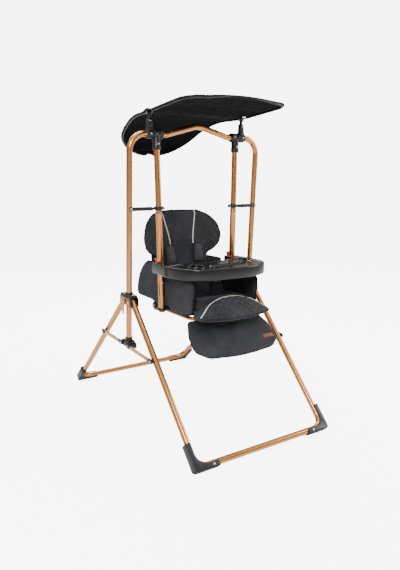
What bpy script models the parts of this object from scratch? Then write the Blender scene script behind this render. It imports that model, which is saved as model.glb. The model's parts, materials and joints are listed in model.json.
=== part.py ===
"""Baby swing on a folding A-frame, with a tilting canopy, a sliding tray and a reclining seat.

Metres, +Z up, the child faces -Y. The origin is on the floor, under the middle of the feet.
Heights are given from the floor. Lengths along Y are given from the crossbar, and the function
place() moves them to the model's frame. Every moving body has an empty on its joint's axis.
"""
import bmesh
import bpy
from math import acos, asin, atan2, cos, hypot, pi, radians, sin, tan
from mathutils import Matrix, Vector

# Driving dimensions
CROSS_Z = 1.214            # height of the crossbar
CROSS_Y = -0.082           # the crossbar stands this far in front of the middle of the feet
LEAN = radians(3.45)       # the uprights lean back from the crossbar
FRAME_X = 0.315            # half the distance between the two side tubes
TUBE_R = 0.0125
TUBE_SIDES = 12
GAP = 0.0003               # between pieces that touch

HUB_DROP = 0.6712          # crossbar to the leg pivots, along the upright
BOTTOM_DROP = 0.8636       # crossbar to the brace pivots, along the upright
LEG_OFFSET = 0.033         # leg pivots in front of and behind the upright
BRACE_OFFSET = 0.030
BRACE_REACH = 0.275        # leg pivot to brace rivet, along the leg
FOOT_Y = 0.557             # foot bars in front of and behind the origin
FOOT_Z = 0.020
LEG_BEND = 0.050

HANGER_TOP_X = 0.197
HANGER_LOW_X = 0.181
HANGER_SEAM_Z = 0.905
HANGER_LOW_Z = 0.482
HANGER_R = 0.0135          # the lower, outer tube of each hanger

CANOPY_Z = 1.294           # height of the canopy pivots
BOW_X = 0.235
BOW_R = 0.0035
CANOPY_FRONT = 0.312
CANOPY_RISE = 0.085        # slope of the front bow
CANOPY_FLAT = 0.095        # the rear rails run level this far, then curve down
CANOPY_CURVE = 0.448       # radius of that curve
CANOPY_REAR = 0.424
CANOPY_TAPER = 0.065       # the rear rails draw together by this much on each side
CANOPY_THICK = 0.004

RECLINE_Y, RECLINE_Z = 0.090, 0.520
BACK_LEAN = atan2(0.070, 0.335)
SEAT_BAR_Y, SEAT_BAR_Z = -0.165, 0.478
FOOTREST_TILT = radians(50)
TRAY_TOP, TRAY_LOW = 0.695, 0.650

UPRIGHT = Matrix.Translation((0, CROSS_Y, CROSS_Z)) @ Matrix.Rotation(LEAN, 4, "X")

for old in list(bpy.data.objects):
    bpy.data.objects.remove(old, do_unlink=True)

MODEL = bpy.data.collections.new("baby_swing")
CUTTERS = bpy.data.collections.new("cutters")
bpy.context.scene.collection.children.link(MODEL)
bpy.context.scene.collection.children.link(CUTTERS)


# Materials
def material(name, color, roughness, metallic=0.0):
    made = bpy.data.materials.new(name)
    made.use_nodes = True
    shader = made.node_tree.nodes["Principled BSDF"]
    shader.inputs["Base Color"].default_value = (*color, 1)
    shader.inputs["Roughness"].default_value = roughness
    shader.inputs["Metallic"].default_value = metallic
    return made


BRONZE = material("bronze_paint", (0.60, 0.29, 0.09), 0.32, 0.8)
BLACK = material("black_plastic", (0.012, 0.012, 0.013), 0.45)
GLOSS = material("gloss_black_plastic", (0.008, 0.008, 0.009), 0.15)
STEEL = material("bright_steel", (0.62, 0.62, 0.63), 0.25, 1.0)
CHARCOAL = material("charcoal_fabric", (0.045, 0.046, 0.052), 0.9)
NIGHT = material("canopy_fabric", (0.012, 0.012, 0.014), 0.9)
RED = material("red_plastic", (0.72, 0.02, 0.015), 0.35)
BOARD = material("grey_board", (0.05, 0.05, 0.055), 0.7)


# Helpers
def place(x, y, z):
    """A point given from the floor and from the crossbar."""
    return Vector((x, CROSS_Y + y, z))


def mesh_object(name, mesh, finish):
    made = bpy.data.objects.new(name, mesh)
    MODEL.objects.link(made)
    mesh.materials.clear()
    mesh.materials.append(finish)
    return made


def smooth(piece, angle=40):
    piece.data.shade_smooth()
    piece.data.set_sharp_from_angle(angle=radians(angle))
    return piece


def baked(piece, finish):
    """The curve as a closed mesh in its own place, with its caps welded."""
    bpy.context.view_layer.update()
    mesh = bpy.data.meshes.new_from_object(piece.evaluated_get(bpy.context.evaluated_depsgraph_get()))
    work = bmesh.new()
    work.from_mesh(mesh)
    bmesh.ops.remove_doubles(work, verts=work.verts, dist=0.00002)
    bmesh.ops.recalc_face_normals(work, faces=work.faces)
    work.to_mesh(mesh)
    work.free()
    name = piece.name
    matrix = piece.matrix_world.copy()
    bpy.data.objects.remove(piece, do_unlink=True)
    made = mesh_object(name, mesh, finish)
    made.matrix_world = matrix
    return made


def rounded(corners, closed=False, step=radians(22.5)):
    """A polyline through the corners, each (point, radius), with arcs at the rounded ones."""
    found = []
    count = len(corners)
    for n, (point, radius) in enumerate(corners):
        point = Vector(point)
        ends = not closed and n in (0, count - 1)
        if not radius or ends:
            found.append(point)
            continue
        before = (Vector(corners[n - 1][0]) - point).normalized()
        after = (Vector(corners[(n + 1) % count][0]) - point).normalized()
        inside = acos(max(-1, min(1, before.dot(after))))
        reach = radius / tan(inside / 2)
        middle = point + (before + after).normalized() * (radius / sin(inside / 2))
        first = point + before * reach - middle
        last = point + after * reach - middle
        sweep = pi - inside
        steps = max(2, round(sweep / step))
        for k in range(steps + 1):
            part = k / steps
            turn = (first * sin(sweep * (1 - part)) + last * sin(sweep * part)) / sin(sweep)
            found.append(middle + turn)
    return found


def tube(name, points, radius, finish, matrix=Matrix(), sides=TUBE_SIDES):
    """A round bar along the points, as a mesh with welded caps."""
    curve = bpy.data.curves.new(name, "CURVE")
    curve.dimensions = "3D"
    curve.bevel_depth = radius
    curve.bevel_resolution = sides // 2 - 2
    curve.use_fill_caps = True
    line = curve.splines.new("POLY")
    line.points.add(len(points) - 1)
    for slot, point in zip(line.points, points):
        slot.co = (*point, 1)
    made = bpy.data.objects.new(name, curve)
    made.matrix_world = matrix
    MODEL.objects.link(made)
    return smooth(baked(made, finish))


def plate(name, outline, thickness, finish, matrix=Matrix(), bevel=0.0):
    """A flat outline in XY of the given matrix, with its thickness along that matrix's Z."""
    curve = bpy.data.curves.new(name, "CURVE")
    curve.dimensions = "2D"
    curve.fill_mode = "BOTH"
    curve.extrude = thickness / 2
    line = curve.splines.new("POLY")
    line.points.add(len(outline) - 1)
    for slot, point in zip(line.points, outline):
        slot.co = (point[0], point[1], 0, 1)
    line.use_cyclic_u = True
    made = bpy.data.objects.new(name, curve)
    made.matrix_world = matrix
    MODEL.objects.link(made)
    made = baked(made, finish)
    if bevel:
        edge = made.modifiers.new("edge", "BEVEL")
        edge.width = bevel
        edge.segments = 1
        edge.limit_method = "ANGLE"
        edge.angle_limit = radians(60)
    return made


def drum(name, start, end, radius, finish, sides=16):
    """A cylinder between two points."""
    start, end = Vector(start), Vector(end)
    work = bmesh.new()
    bmesh.ops.create_cone(work, cap_ends=True, segments=sides, radius1=radius, radius2=radius,
                          depth=(end - start).length)
    mesh = bpy.data.meshes.new(name)
    work.to_mesh(mesh)
    work.free()
    made = mesh_object(name, mesh, finish)
    turn = (end - start).to_track_quat("Z", "Y").to_matrix().to_4x4()
    made.matrix_world = Matrix.Translation((start + end) / 2) @ turn
    return smooth(made)


def block(name, low, high, finish, matrix=Matrix(), bevel=0.0, segments=1):
    """A box between two corners, with rounded edges."""
    low, high = Vector(low), Vector(high)
    work = bmesh.new()
    bmesh.ops.create_cube(work, size=1)
    bmesh.ops.scale(work, vec=high - low, verts=work.verts)
    mesh = bpy.data.meshes.new(name)
    work.to_mesh(mesh)
    work.free()
    made = mesh_object(name, mesh, finish)
    made.matrix_world = matrix @ Matrix.Translation((low + high) / 2)
    if bevel:
        edge = made.modifiers.new("edge", "BEVEL")
        edge.width = bevel
        edge.segments = segments
    return made


def combine(piece, other, operation):
    """Cut or join with another piece, which becomes a hidden guide."""
    MODEL.objects.unlink(other)
    CUTTERS.objects.link(other)
    other.hide_render = True
    other.display_type = "WIRE"
    mod = piece.modifiers.new(operation.lower(), "BOOLEAN")
    mod.operation = operation
    mod.solver = "EXACT"
    mod.object = other
    return piece


def cut(piece, other):
    return combine(piece, other, "DIFFERENCE")


def join(piece, other):
    return combine(piece, other, "UNION")


def bore_radius(radius, sides=TUBE_SIDES):
    """The bore that a faceted tube of this radius fits, however its facets are turned."""
    return (radius + GAP) / cos(pi / sides)


def surface(name, rows, thickness, finish, offset=0.0):
    """An open grid of points given a wall by Solidify."""
    work = bmesh.new()
    grid = [[work.verts.new(point) for point in row] for row in rows]
    for lower, upper in zip(grid, grid[1:]):
        for n in range(len(lower) - 1):
            work.faces.new((lower[n], lower[n + 1], upper[n + 1], upper[n]))
    bmesh.ops.recalc_face_normals(work, faces=work.faces)
    mesh = bpy.data.meshes.new(name)
    work.to_mesh(mesh)
    work.free()
    made = mesh_object(name, mesh, finish)
    wall = made.modifiers.new("wall", "SOLIDIFY")
    wall.thickness = thickness
    wall.offset = offset
    return smooth(made)


def axis_empty(name, location, parent=None):
    made = bpy.data.objects.new(name, None)
    made.empty_display_size = 0.05
    made.location = location
    MODEL.objects.link(made)
    bpy.context.view_layer.update()
    if parent:
        hold(made, parent)
    return made


def hold(piece, parent):
    """Parent a piece to its body's empty, where it stands."""
    bpy.context.view_layer.update()
    matrix = piece.matrix_world.copy()
    piece.parent = parent
    piece.matrix_parent_inverse = parent.matrix_world.inverted()
    piece.matrix_world = matrix
    return piece


def sides():
    return (("left", -1), ("right", 1))


def stadium(start, end, half, steps=6):
    """The outline of a bar with round ends, between two points of a plane."""
    start, end = Vector(start), Vector(end)
    heading = atan2(end.y - start.y, end.x - start.x)
    points = []
    for centre, first in ((end, heading - pi / 2), (start, heading + pi / 2)):
        for n in range(steps + 1):
            angle = first + pi * n / steps
            points.append((centre.x + half * cos(angle), centre.y + half * sin(angle)))
    return points


def side_matrix(x, base=Matrix()):
    """A plane across X: its own X runs along Y of the base, its own Y along Z of the base."""
    turn = Matrix(((0, 0, 1, 0), (1, 0, 0, 0), (0, 1, 0, 0), (0, 0, 0, 1)))
    return base @ Matrix.Translation((x, 0, 0)) @ turn


FROM_CROSSBAR = Matrix.Translation((0, CROSS_Y, 0))


# Upper frame: one bent tube, its lower brackets and the canopy posts
def upper_frame(body):
    hump = ((-0.152, 0, 0), 0.06), ((0, 0, 0.041), 0.10), ((0.152, 0, 0), 0.06)
    ends = BOTTOM_DROP + 0.008
    path = rounded([((-FRAME_X, 0, -ends), 0), ((-FRAME_X, 0, 0), 0.07), *hump,
                    ((FRAME_X, 0, 0), 0.07), ((FRAME_X, 0, -ends), 0)])
    hold(tube("top_frame", path, TUBE_R, BRONZE, UPRIGHT), body)

    for side, sign in sides():
        x = sign * FRAME_X
        low = (x - 0.0165, -0.044, -BOTTOM_DROP - 0.0145)
        high = (x + 0.0165, 0.044, -BOTTOM_DROP + 0.0175)
        bracket = block(f"foot_bracket_{side}", low, high, BLACK, UPRIGHT, 0.004)
        top = UPRIGHT @ Vector((x, 0, -BOTTOM_DROP + 0.05))
        floor = UPRIGHT @ Vector((x, 0, -ends - GAP))
        cut(bracket, drum("upright_bore", top, floor, bore_radius(TUBE_R), BLACK, TUBE_SIDES))
        for end in (-1, 1):
            out = UPRIGHT @ Vector((sign * (FRAME_X + 0.030), end * BRACE_OFFSET, -BOTTOM_DROP))
            deep = UPRIGHT @ Vector((sign * (FRAME_X + 0.006), end * BRACE_OFFSET, -BOTTOM_DROP))
            cut(bracket, drum("brace_bore", out, deep, 0.0058, BLACK))
        hold(bracket, body)
        hold(canopy_post(side, sign), body)


def canopy_post(side, sign):
    """A clamp on the crossbar, a post on it and a blade with the pivot pin."""
    inner, outer = 0.2145, 0.2415
    middle = sign * (inner + outer) / 2
    post = drum(f"canopy_post_{side}", place(sign * inner, 0, CROSS_Z),
                place(sign * outer, 0, CROSS_Z), 0.0185, BLACK, 20)
    join(post, block("post_body", (middle - 0.0125, -0.0105, CROSS_Z + 0.010),
                     (middle + 0.0125, 0.0105, CANOPY_Z - 0.021), BLACK, FROM_CROSSBAR, 0.003))
    blade = sign * 0.228
    join(post, block("post_blade", (blade - 0.0025, -0.008, CANOPY_Z - 0.030),
                     (blade + 0.0025, 0.008, CANOPY_Z + 0.008), BLACK, FROM_CROSSBAR, 0.0015))
    join(post, drum("pivot_pin", place(sign * 0.2160, 0, CANOPY_Z),
                    place(sign * 0.2400, 0, CANOPY_Z), 0.0025, STEEL, 12))
    cut(post, drum("clamp_bore", place(sign * 0.19, 0, CROSS_Z), place(sign * 0.26, 0, CROSS_Z),
                   bore_radius(TUBE_R), BLACK, TUBE_SIDES))
    return post


# Folding legs: hubs that slide on the uprights, two U-shaped legs, braces and shoes
def hub(side, sign, body):
    x = sign * FRAME_X
    frame = UPRIGHT @ Matrix.Translation((0, 0, -HUB_DROP))
    outline = rounded([((-0.056, -0.020, 0), 0.004), ((0.056, -0.020, 0), 0.004),
                       ((0.054, 0.012, 0), 0.010), ((0.040, 0.026, 0), 0.012),
                       ((-0.040, 0.026, 0), 0.012), ((-0.054, 0.012, 0), 0.010)], True)
    housing = plate(f"leg_hub_{side}", outline, 0.036, BLACK, side_matrix(x, frame), 0.002)
    cut(housing, block("hub_channel", (x - 0.0138, -0.08, -0.05), (x + 0.0138, 0.08, 0.0190),
                       BLACK, frame))
    cut(housing, drum("hub_bore", frame @ Vector((x, 0, -0.06)), frame @ Vector((x, 0, 0.06)),
                      bore_radius(TUBE_R), BLACK, TUBE_SIDES))
    plate_x = sign * (FRAME_X + 0.018 + GAP + 0.0015)
    shield = plate(f"hub_plate_{side}",
                   rounded([((-0.046, -0.014, 0), 0.006), ((0.046, -0.014, 0), 0.006),
                            ((0.042, 0.014, 0), 0.008), ((-0.042, 0.014, 0), 0.008)], True),
                   0.003, BRONZE, side_matrix(plate_x, frame))
    for end, label in ((-1, "front"), (1, "rear")):
        inboard = frame @ Vector((sign * (FRAME_X - 0.0203), end * LEG_OFFSET, 0))
        outboard = frame @ Vector((sign * (FRAME_X + 0.0236), end * LEG_OFFSET, 0))
        along = (outboard - inboard).normalized()
        pin = drum(f"leg_pin_{label}_{side}", inboard, outboard, 0.0030, STEEL, 12)
        join(pin, drum("pin_head", outboard - along * 0.0018, outboard, 0.006, STEEL, 12))
        join(pin, drum("pin_tail", inboard, inboard + along * 0.0018, 0.006, STEEL, 12))
        for piece in (housing, shield):
            cut(piece, drum("pin_bore", inboard - along * 0.01, outboard + along * 0.01, 0.0035,
                            STEEL, 12))
        hold(pin, body)
    pivot = frame @ Vector((sign * (FRAME_X + 0.017), 0, -0.004))
    beyond = frame @ Vector((sign * (FRAME_X + 0.040), 0, -0.004))
    cut(shield, drum("latch_bore", pivot, beyond, 0.0044, STEEL, 12))
    hold(housing, body)
    hold(shield, body)
    latch_axis = axis_empty(f"axis_hub_latch_{side}", pivot, body)
    hold(hub_latch(side, sign, frame), latch_axis)


def hub_latch(side, sign, frame):
    """The lever that hangs outside the hub and frees it from the upright."""
    x = sign * (FRAME_X + 0.0270)
    outline = rounded([((-0.011, 0.006, 0), 0.005), ((-0.006, -0.058, 0), 0.004),
                       ((0.006, -0.058, 0), 0.004), ((0.011, 0.006, 0), 0.005)], True)
    lever = plate(f"hub_latch_{side}", outline, 0.004, BRONZE, side_matrix(x, frame))
    start = frame @ Vector((sign * (FRAME_X + 0.0190), 0, -0.004))
    end = frame @ Vector((sign * (FRAME_X + 0.0280), 0, -0.004))
    return join(lever, drum("latch_stub", start, end, 0.0040, BRONZE, 12))


def leg_matrix(end):
    """The leg's own frame: the origin on its pivots, and -Z down the leg."""
    pivot = UPRIGHT @ Vector((0, end * LEG_OFFSET, -HUB_DROP))
    heading = Vector((0, end * FOOT_Y, FOOT_Z)) - pivot
    turn = atan2(heading.y, -heading.z)
    return Matrix.Translation(pivot) @ Matrix.Rotation(turn, 4, "X"), heading.length


def leg_frame(label, end, body):
    matrix, length = leg_matrix(end)
    path = rounded([((-FRAME_X, 0, 0.010), 0), ((-FRAME_X, 0, -length), LEG_BEND),
                    ((FRAME_X, 0, -length), LEG_BEND), ((FRAME_X, 0, 0.010), 0)])
    leg = tube(f"{label}_leg_frame", path, TUBE_R, BRONZE, matrix)
    for side, sign in sides():
        across = [matrix @ Vector((sign * (FRAME_X + n), 0, 0)) for n in (-0.02, 0.02)]
        cut(leg, drum("leg_pin_bore", *across, 0.0035, STEEL, 12))
        hold(foot_shoe(label, side, sign, matrix, length), body)
    hold(leg, body)


def foot_shoe(label, side, sign, matrix, length):
    """An L-shaped shell round the bend, open on its inner side, with a flat sole."""
    arm, outer, inner, round_edge = 0.092, 0.0175, 0.004, 0.014
    corner = Vector((sign * FRAME_X, -length, 0))
    inward = -sign
    outline = rounded([(corner + Vector((-inward * outer, arm, 0)), 0.004),
                       (corner + Vector((-inward * outer, -outer, 0)), round_edge),
                       (corner + Vector((inward * arm, -outer, 0)), 0.004),
                       (corner + Vector((inward * arm, inner, 0)), 0.002),
                       (corner + Vector((inward * inner, inner, 0)), LEG_BEND - inner),
                       (corner + Vector((inward * inner, arm, 0)), 0.002)], True)
    flat = matrix @ Matrix.Rotation(pi / 2, 4, "X")
    shoe = plate(f"{label}_shoe_{side}", outline, 0.034, BLACK, flat, 0.003)
    bend = rounded([((sign * FRAME_X, 0, -length + 0.2), 0), ((sign * FRAME_X, 0, -length), LEG_BEND),
                    ((sign * (FRAME_X - 0.2), 0, -length), 0)])
    cut(shoe, tube("shoe_bore", bend, bore_radius(TUBE_R), BLACK, matrix))
    return cut(shoe, block("floor", (-0.5, -0.8, -0.1), (0.5, 0.8, 0), BLACK))


def brace(label, end, side, sign):
    """A flat link from the upright's bracket to the leg, with a boss at each end."""
    matrix, _ = leg_matrix(end)
    rivet = matrix @ Vector((0, 0, -BRACE_REACH))
    pivot = UPRIGHT @ Vector((0, end * BRACE_OFFSET, -BOTTOM_DROP))
    middle = sign * (FRAME_X + 0.0205)
    link = plate(f"{label}_brace_{side}", stadium(pivot.yz, rivet.yz, 0.008), 0.006, BRONZE,
                 side_matrix(middle))
    for point, depth in ((pivot, 0.0085), (rivet, 0.0135)):
        start = Vector((middle, point.y, point.z))
        finish = Vector((sign * (FRAME_X + depth), point.y, point.z))
        join(link, drum("link_boss", start, finish, 0.0052, STEEL, 12))
    return link


# Swing: sleeves on the crossbar, telescopic hangers, catches and seat brackets
def hanger_x(z):
    """The hangers draw together a little towards the seat."""
    part = (CROSS_Z - z) / (CROSS_Z - HANGER_LOW_Z)
    return HANGER_TOP_X + (HANGER_LOW_X - HANGER_TOP_X) * part


def hanger_point(sign, z):
    return place(sign * hanger_x(z), 0, z)


def hanger(side, sign, body):
    sleeve = drum(f"crossbar_sleeve_{side}", place(sign * 0.171, 0, CROSS_Z),
                  place(sign * 0.2125, 0, CROSS_Z), 0.0195, BLACK, 20)
    join(sleeve, drum("sleeve_socket", hanger_point(sign, CROSS_Z - 0.005),
                      hanger_point(sign, CROSS_Z - 0.062), 0.0170, BLACK, 20))
    cut(sleeve, drum("crossbar_bore", place(sign * 0.15, 0, CROSS_Z), place(sign * 0.23, 0, CROSS_Z),
                     bore_radius(TUBE_R) + GAP, BLACK, TUBE_SIDES))
    cut(sleeve, drum("hanger_bore", hanger_point(sign, CROSS_Z - 0.0180),
                     hanger_point(sign, CROSS_Z - 0.08), bore_radius(TUBE_R), BLACK, TUBE_SIDES))
    hold(sleeve, body)
    upper = [hanger_point(sign, CROSS_Z - 0.0185), hanger_point(sign, HANGER_SEAM_Z + GAP)]
    lower = [hanger_point(sign, HANGER_SEAM_Z), hanger_point(sign, HANGER_LOW_Z)]
    hold(tube(f"hanger_upper_{side}", upper, TUBE_R, BRONZE), body)
    hold(tube(f"hanger_lower_{side}", lower, HANGER_R, BRONZE), body)

    catch_z, catch_high = 0.920, 0.008
    catch = drum(f"lock_catch_{side}", hanger_point(sign, catch_z - catch_high),
                 hanger_point(sign, catch_z + catch_high), 0.0165, BLACK, 20)
    ends = sorted((sign * 0.163, sign * 0.2130))
    join(catch, block("catch_arm", (ends[0], -0.006, catch_z - 0.0065),
                      (ends[1], 0.006, catch_z + 0.0065), BLACK, FROM_CROSSBAR, 0.0015))
    cut(catch, drum("catch_bore", hanger_point(sign, catch_z - 0.05),
                    hanger_point(sign, catch_z + 0.05), bore_radius(TUBE_R), BLACK, TUBE_SIDES))
    hold(catch, body)
    hold(seat_bracket(side, sign), body)


def seat_bracket(side, sign):
    """The plate inside the seat's side that carries the recline pin, and its collar."""
    outline = rounded([((-0.010, 0.4865, 0), 0.004), ((0.045, 0.4865, 0), 0.010),
                       ((0.062, 0.4640, 0), 0.010), ((0.130, 0.4620, 0), 0.012),
                       ((0.142, 0.4800, 0), 0.012), ((0.112, 0.538, 0), 0.010),
                       ((0.070, 0.541, 0), 0.012), ((-0.010, 0.512, 0), 0.006)], True)
    bracket = plate(f"seat_bracket_{side}", outline, 0.005, BLACK,
                    side_matrix(sign * 0.1475, FROM_CROSSBAR))
    lug = sorted((sign * 0.146, sign * 0.170))
    join(bracket, block("bracket_lug", (lug[0], -0.008, 0.4868), (lug[1], 0.026, 0.4995), BLACK,
                        FROM_CROSSBAR))
    join(bracket, drum("bracket_collar", hanger_point(sign, 0.4872), hanger_point(sign, 0.4998),
                       0.0178, BLACK, 20))
    cut(bracket, drum("bracket_bore", hanger_point(sign, 0.46), hanger_point(sign, 0.56),
                      bore_radius(HANGER_R), BLACK, TUBE_SIDES))
    return join(bracket, drum("recline_pin", place(sign * 0.148, RECLINE_Y, RECLINE_Z),
                              place(sign * 0.1362, RECLINE_Y, RECLINE_Z), 0.0040, STEEL, 12))


def lock_arm(side, sign):
    """The bar that turns on the upright and holds the swing still."""
    level = -0.2946
    outline = stadium((sign * FRAME_X, level), (sign * 0.2222, level), 0.0080)
    flat = UPRIGHT @ Matrix.Translation((0, -0.0160, 0)) @ Matrix.Rotation(pi / 2, 4, "X")
    return plate(f"lock_arm_{side}", outline, 0.005, BLACK, flat)


# Tray and its two latches
def tray_outline(half, depth, back):
    """The round front of the tray from one side to the other, behind the line y = back."""
    power = 2 / 2.7
    points = []
    for n in range(21):
        angle = pi * n / 20
        across, ahead = cos(angle), sin(angle)
        x = half * abs(across) ** power * (1 if across > 0 else -1)
        points.append((x, back - depth * ahead ** power, 0))
    return points


def tray_body():
    middle_y, half, depth = -0.100, 0.222, 0.185
    arms = [((0.2105, 0.030, 0), 0.004), ((0.1625, 0.030, 0), 0.003), ((0.1610, -0.045, 0), 0.035),
            ((0.070, -0.086, 0), 0.060)]
    mirrored = [((-p[0], p[1], 0), r) for p, r in reversed(arms)]
    inner = rounded([(point, radius) for point, radius in
                     [((0.222, -0.09, 0), 0), *arms, *mirrored, ((-0.222, -0.09, 0), 0)]])
    outline = list(reversed(tray_outline(half, depth, middle_y))) + inner
    level = Matrix.Translation((0, CROSS_Y, (TRAY_TOP + TRAY_LOW) / 2))
    tray = plate("tray_body", outline, TRAY_TOP - TRAY_LOW, GLOSS, level)
    hollow = tray_outline(half - 0.007, depth - 0.007, middle_y + 0.004)
    under = Matrix.Translation((0, CROSS_Y, TRAY_LOW + 0.0075))
    cut(tray, plate("tray_hollow", hollow, 0.035, GLOSS, under))
    for side, sign in sides():
        low, high = sorted((sign * 0.1700, sign * 0.2002))
        cut(tray, block("hanger_slot", (low, -0.017, 0.6), (high, 0.08, 0.75), GLOSS, FROM_CROSSBAR))
    cut(tray, drum("cup_recess", place(-0.120, -0.170, TRAY_TOP - 0.012),
                   place(-0.120, -0.170, TRAY_TOP + 0.02), 0.034, GLOSS, 24))
    groove = Matrix.Translation((0, CROSS_Y, TRAY_TOP))
    cut(tray, plate("toy_groove", stadium((-0.045, -0.195), (0.095, -0.185), 0.022), 0.014, GLOSS,
                    groove))
    return cut(tray, plate("side_recess", stadium((0.160, -0.150), (0.165, -0.105), 0.026), 0.014,
                           GLOSS, groove))


def tray_latch(side, sign):
    """A red lever behind the hanger, pinned low and sprung against it."""
    z = 0.683
    x = sign * hanger_x(z)
    latch = block(f"tray_latch_{side}", (x - 0.010, 0.0145, 0.657), (x + 0.010, 0.0215, 0.710), RED,
                  FROM_CROSSBAR, 0.002)
    return join(latch, block("latch_lip", (x - 0.0118, 0.0150, 0.703), (x + 0.0118, 0.0270, 0.711),
                             RED, FROM_CROSSBAR, 0.002))


# Seat: tube, pan, cushion, sides, back and footrest
def seat(body):
    rail = 0.1365
    path = rounded([((-rail, 0.070, SEAT_BAR_Z), 0), ((-rail, SEAT_BAR_Y, SEAT_BAR_Z), 0.028),
                    ((rail, SEAT_BAR_Y, SEAT_BAR_Z), 0.028), ((rail, 0.070, SEAT_BAR_Z), 0)])
    hold(tube("seat_tube", path, 0.008, BRONZE, FROM_CROSSBAR), body)
    hold(block("seat_pan", (-0.143, -0.148, 0.4868), (0.143, 0.070, 0.4944), BOARD, FROM_CROSSBAR,
               0.002), body)
    hold(block("seat_cushion", (-0.143, -0.2215, 0.4953), (0.143, 0.075, 0.558), CHARCOAL,
               FROM_CROSSBAR, 0.014), body)
    arch = [((-0.1700, 0.4960, 0), 0.006), ((-0.100, 0.4870, 0), 0.08), ((0.100, 0.4870, 0), 0.08),
            ((0.1700, 0.4960, 0), 0.006), ((0.1700, 0.5120, 0), 0.006), ((0.085, 0.5700, 0), 0.09),
            ((-0.085, 0.5700, 0), 0.09), ((-0.1700, 0.5120, 0), 0.006)]
    across = FROM_CROSSBAR @ Matrix.Translation((0, -0.2725, 0)) @ Matrix.Rotation(pi / 2, 4, "X")
    hold(plate("front_bolster", rounded(arch, True), 0.095, CHARCOAL, across, 0.012), body)
    for side, sign in sides():
        hold(side_panel(side, sign), body)
    hold(block("crotch_pad", (-0.036, -0.151, 0.5595), (0.036, -0.129, 0.612), CHARCOAL,
               FROM_CROSSBAR, 0.006), body)
    hold(block("harness_buckle", (-0.024, -0.149, 0.6135), (0.024, -0.132, 0.640), BLACK,
               FROM_CROSSBAR, 0.005), body)


def side_panel(side, sign):
    """The fabric side wall. Its rear lobe is an arc about the recline pin."""
    lobe = 0.178
    arc = []
    for n in range(8):
        angle = radians(6 + 8.5 * n)
        arc.append(((RECLINE_Y + lobe * cos(angle), RECLINE_Z + lobe * sin(angle), 0), 0))
    outline = rounded([((-0.222, 0.640, 0), 0.016), ((-0.206, 0.501, 0), 0.020),
                       ((-0.110, 0.486, 0), 0.06), ((-0.046, 0.4845, 0), 0.010),
                       ((-0.020, 0.5035, 0), 0.008), ((0.262, 0.514, 0), 0.010), *arc,
                       ((0.046, 0.6850, 0), 0.012), ((0.046, 0.6400, 0), 0.012)], True)
    return plate(f"side_panel_{side}", outline, 0.013, CHARCOAL,
                 side_matrix(sign * 0.158, FROM_CROSSBAR), 0.003)


def back_half_width(z):
    """Half the width of the backrest: slim between the side panels, wide at the wings."""
    stops = ((0.572, 0.140), (0.700, 0.142), (0.712, 0.165), (0.727, 0.188), (0.745, 0.199),
             (0.775, 0.206), (0.810, 0.204), (0.850, 0.186), (0.885, 0.145), (0.905, 0.100))
    for (low, first), (high, last) in zip(stops, stops[1:]):
        if z <= high:
            return first + (last - first) * (z - low) / (high - low)
    return stops[-1][1]


def back_wing(z):
    """How far the wings come forward."""
    return 0.050 * sin(pi * max(0.0, min(1.0, (z - 0.690) / 0.240)))


def back_point(x, z, depth):
    """A point on the backrest, at a depth behind its front face."""
    part = abs(x) / back_half_width(z)
    front = 0.095 + (z - 0.572) * tan(BACK_LEAN)
    return place(x, front + depth - back_wing(z) * part ** 3, z)


def backrest(body):
    heights = (0.572, 0.640, 0.700, 0.712, 0.727, 0.745, 0.775, 0.810, 0.850, 0.885, 0.905)
    rows = []
    for z in heights:
        half = back_half_width(z)
        rows.append([back_point(half * n / 5, z, 0.015) for n in range(-5, 6)])
    hold(surface("backrest_pad", rows, 0.030, CHARCOAL), body)

    plane = FROM_CROSSBAR @ Matrix.Translation((0, 0.095, 0.572)) @ Matrix.Rotation(-BACK_LEAN, 4, "X")
    board = block("backrest_board", (-0.1430, 0.034, -0.012), (0.1430, 0.041, 0.270), BOARD, plane,
                  0.002)
    outline = rounded([((0.079, 0.512, 0), 0.006), ((0.096, 0.508, 0), 0.008),
                       ((0.160, 0.545, 0), 0.010), ((0.176, 0.625, 0), 0.003),
                       ((0.150, 0.625, 0), 0.003), ((0.136, 0.562, 0), 0.006),
                       ((0.082, 0.532, 0), 0.008)], True)
    for side, sign in sides():
        join(board, plate("board_ear", outline, 0.005, BOARD, side_matrix(sign * 0.140, FROM_CROSSBAR)))
        cut(board, drum("ear_bore", place(sign * 0.13, RECLINE_Y, RECLINE_Z),
                        place(sign * 0.15, RECLINE_Y, RECLINE_Z), 0.0046, BOARD, 12))
        middle = sign * 0.072
        hold(block(f"shoulder_pad_{side}", (middle - 0.0275, -0.023, 0.095),
                   (middle + 0.0275, -0.010, 0.178), CHARCOAL, plane, 0.004), body)
    hold(board, body)


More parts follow.
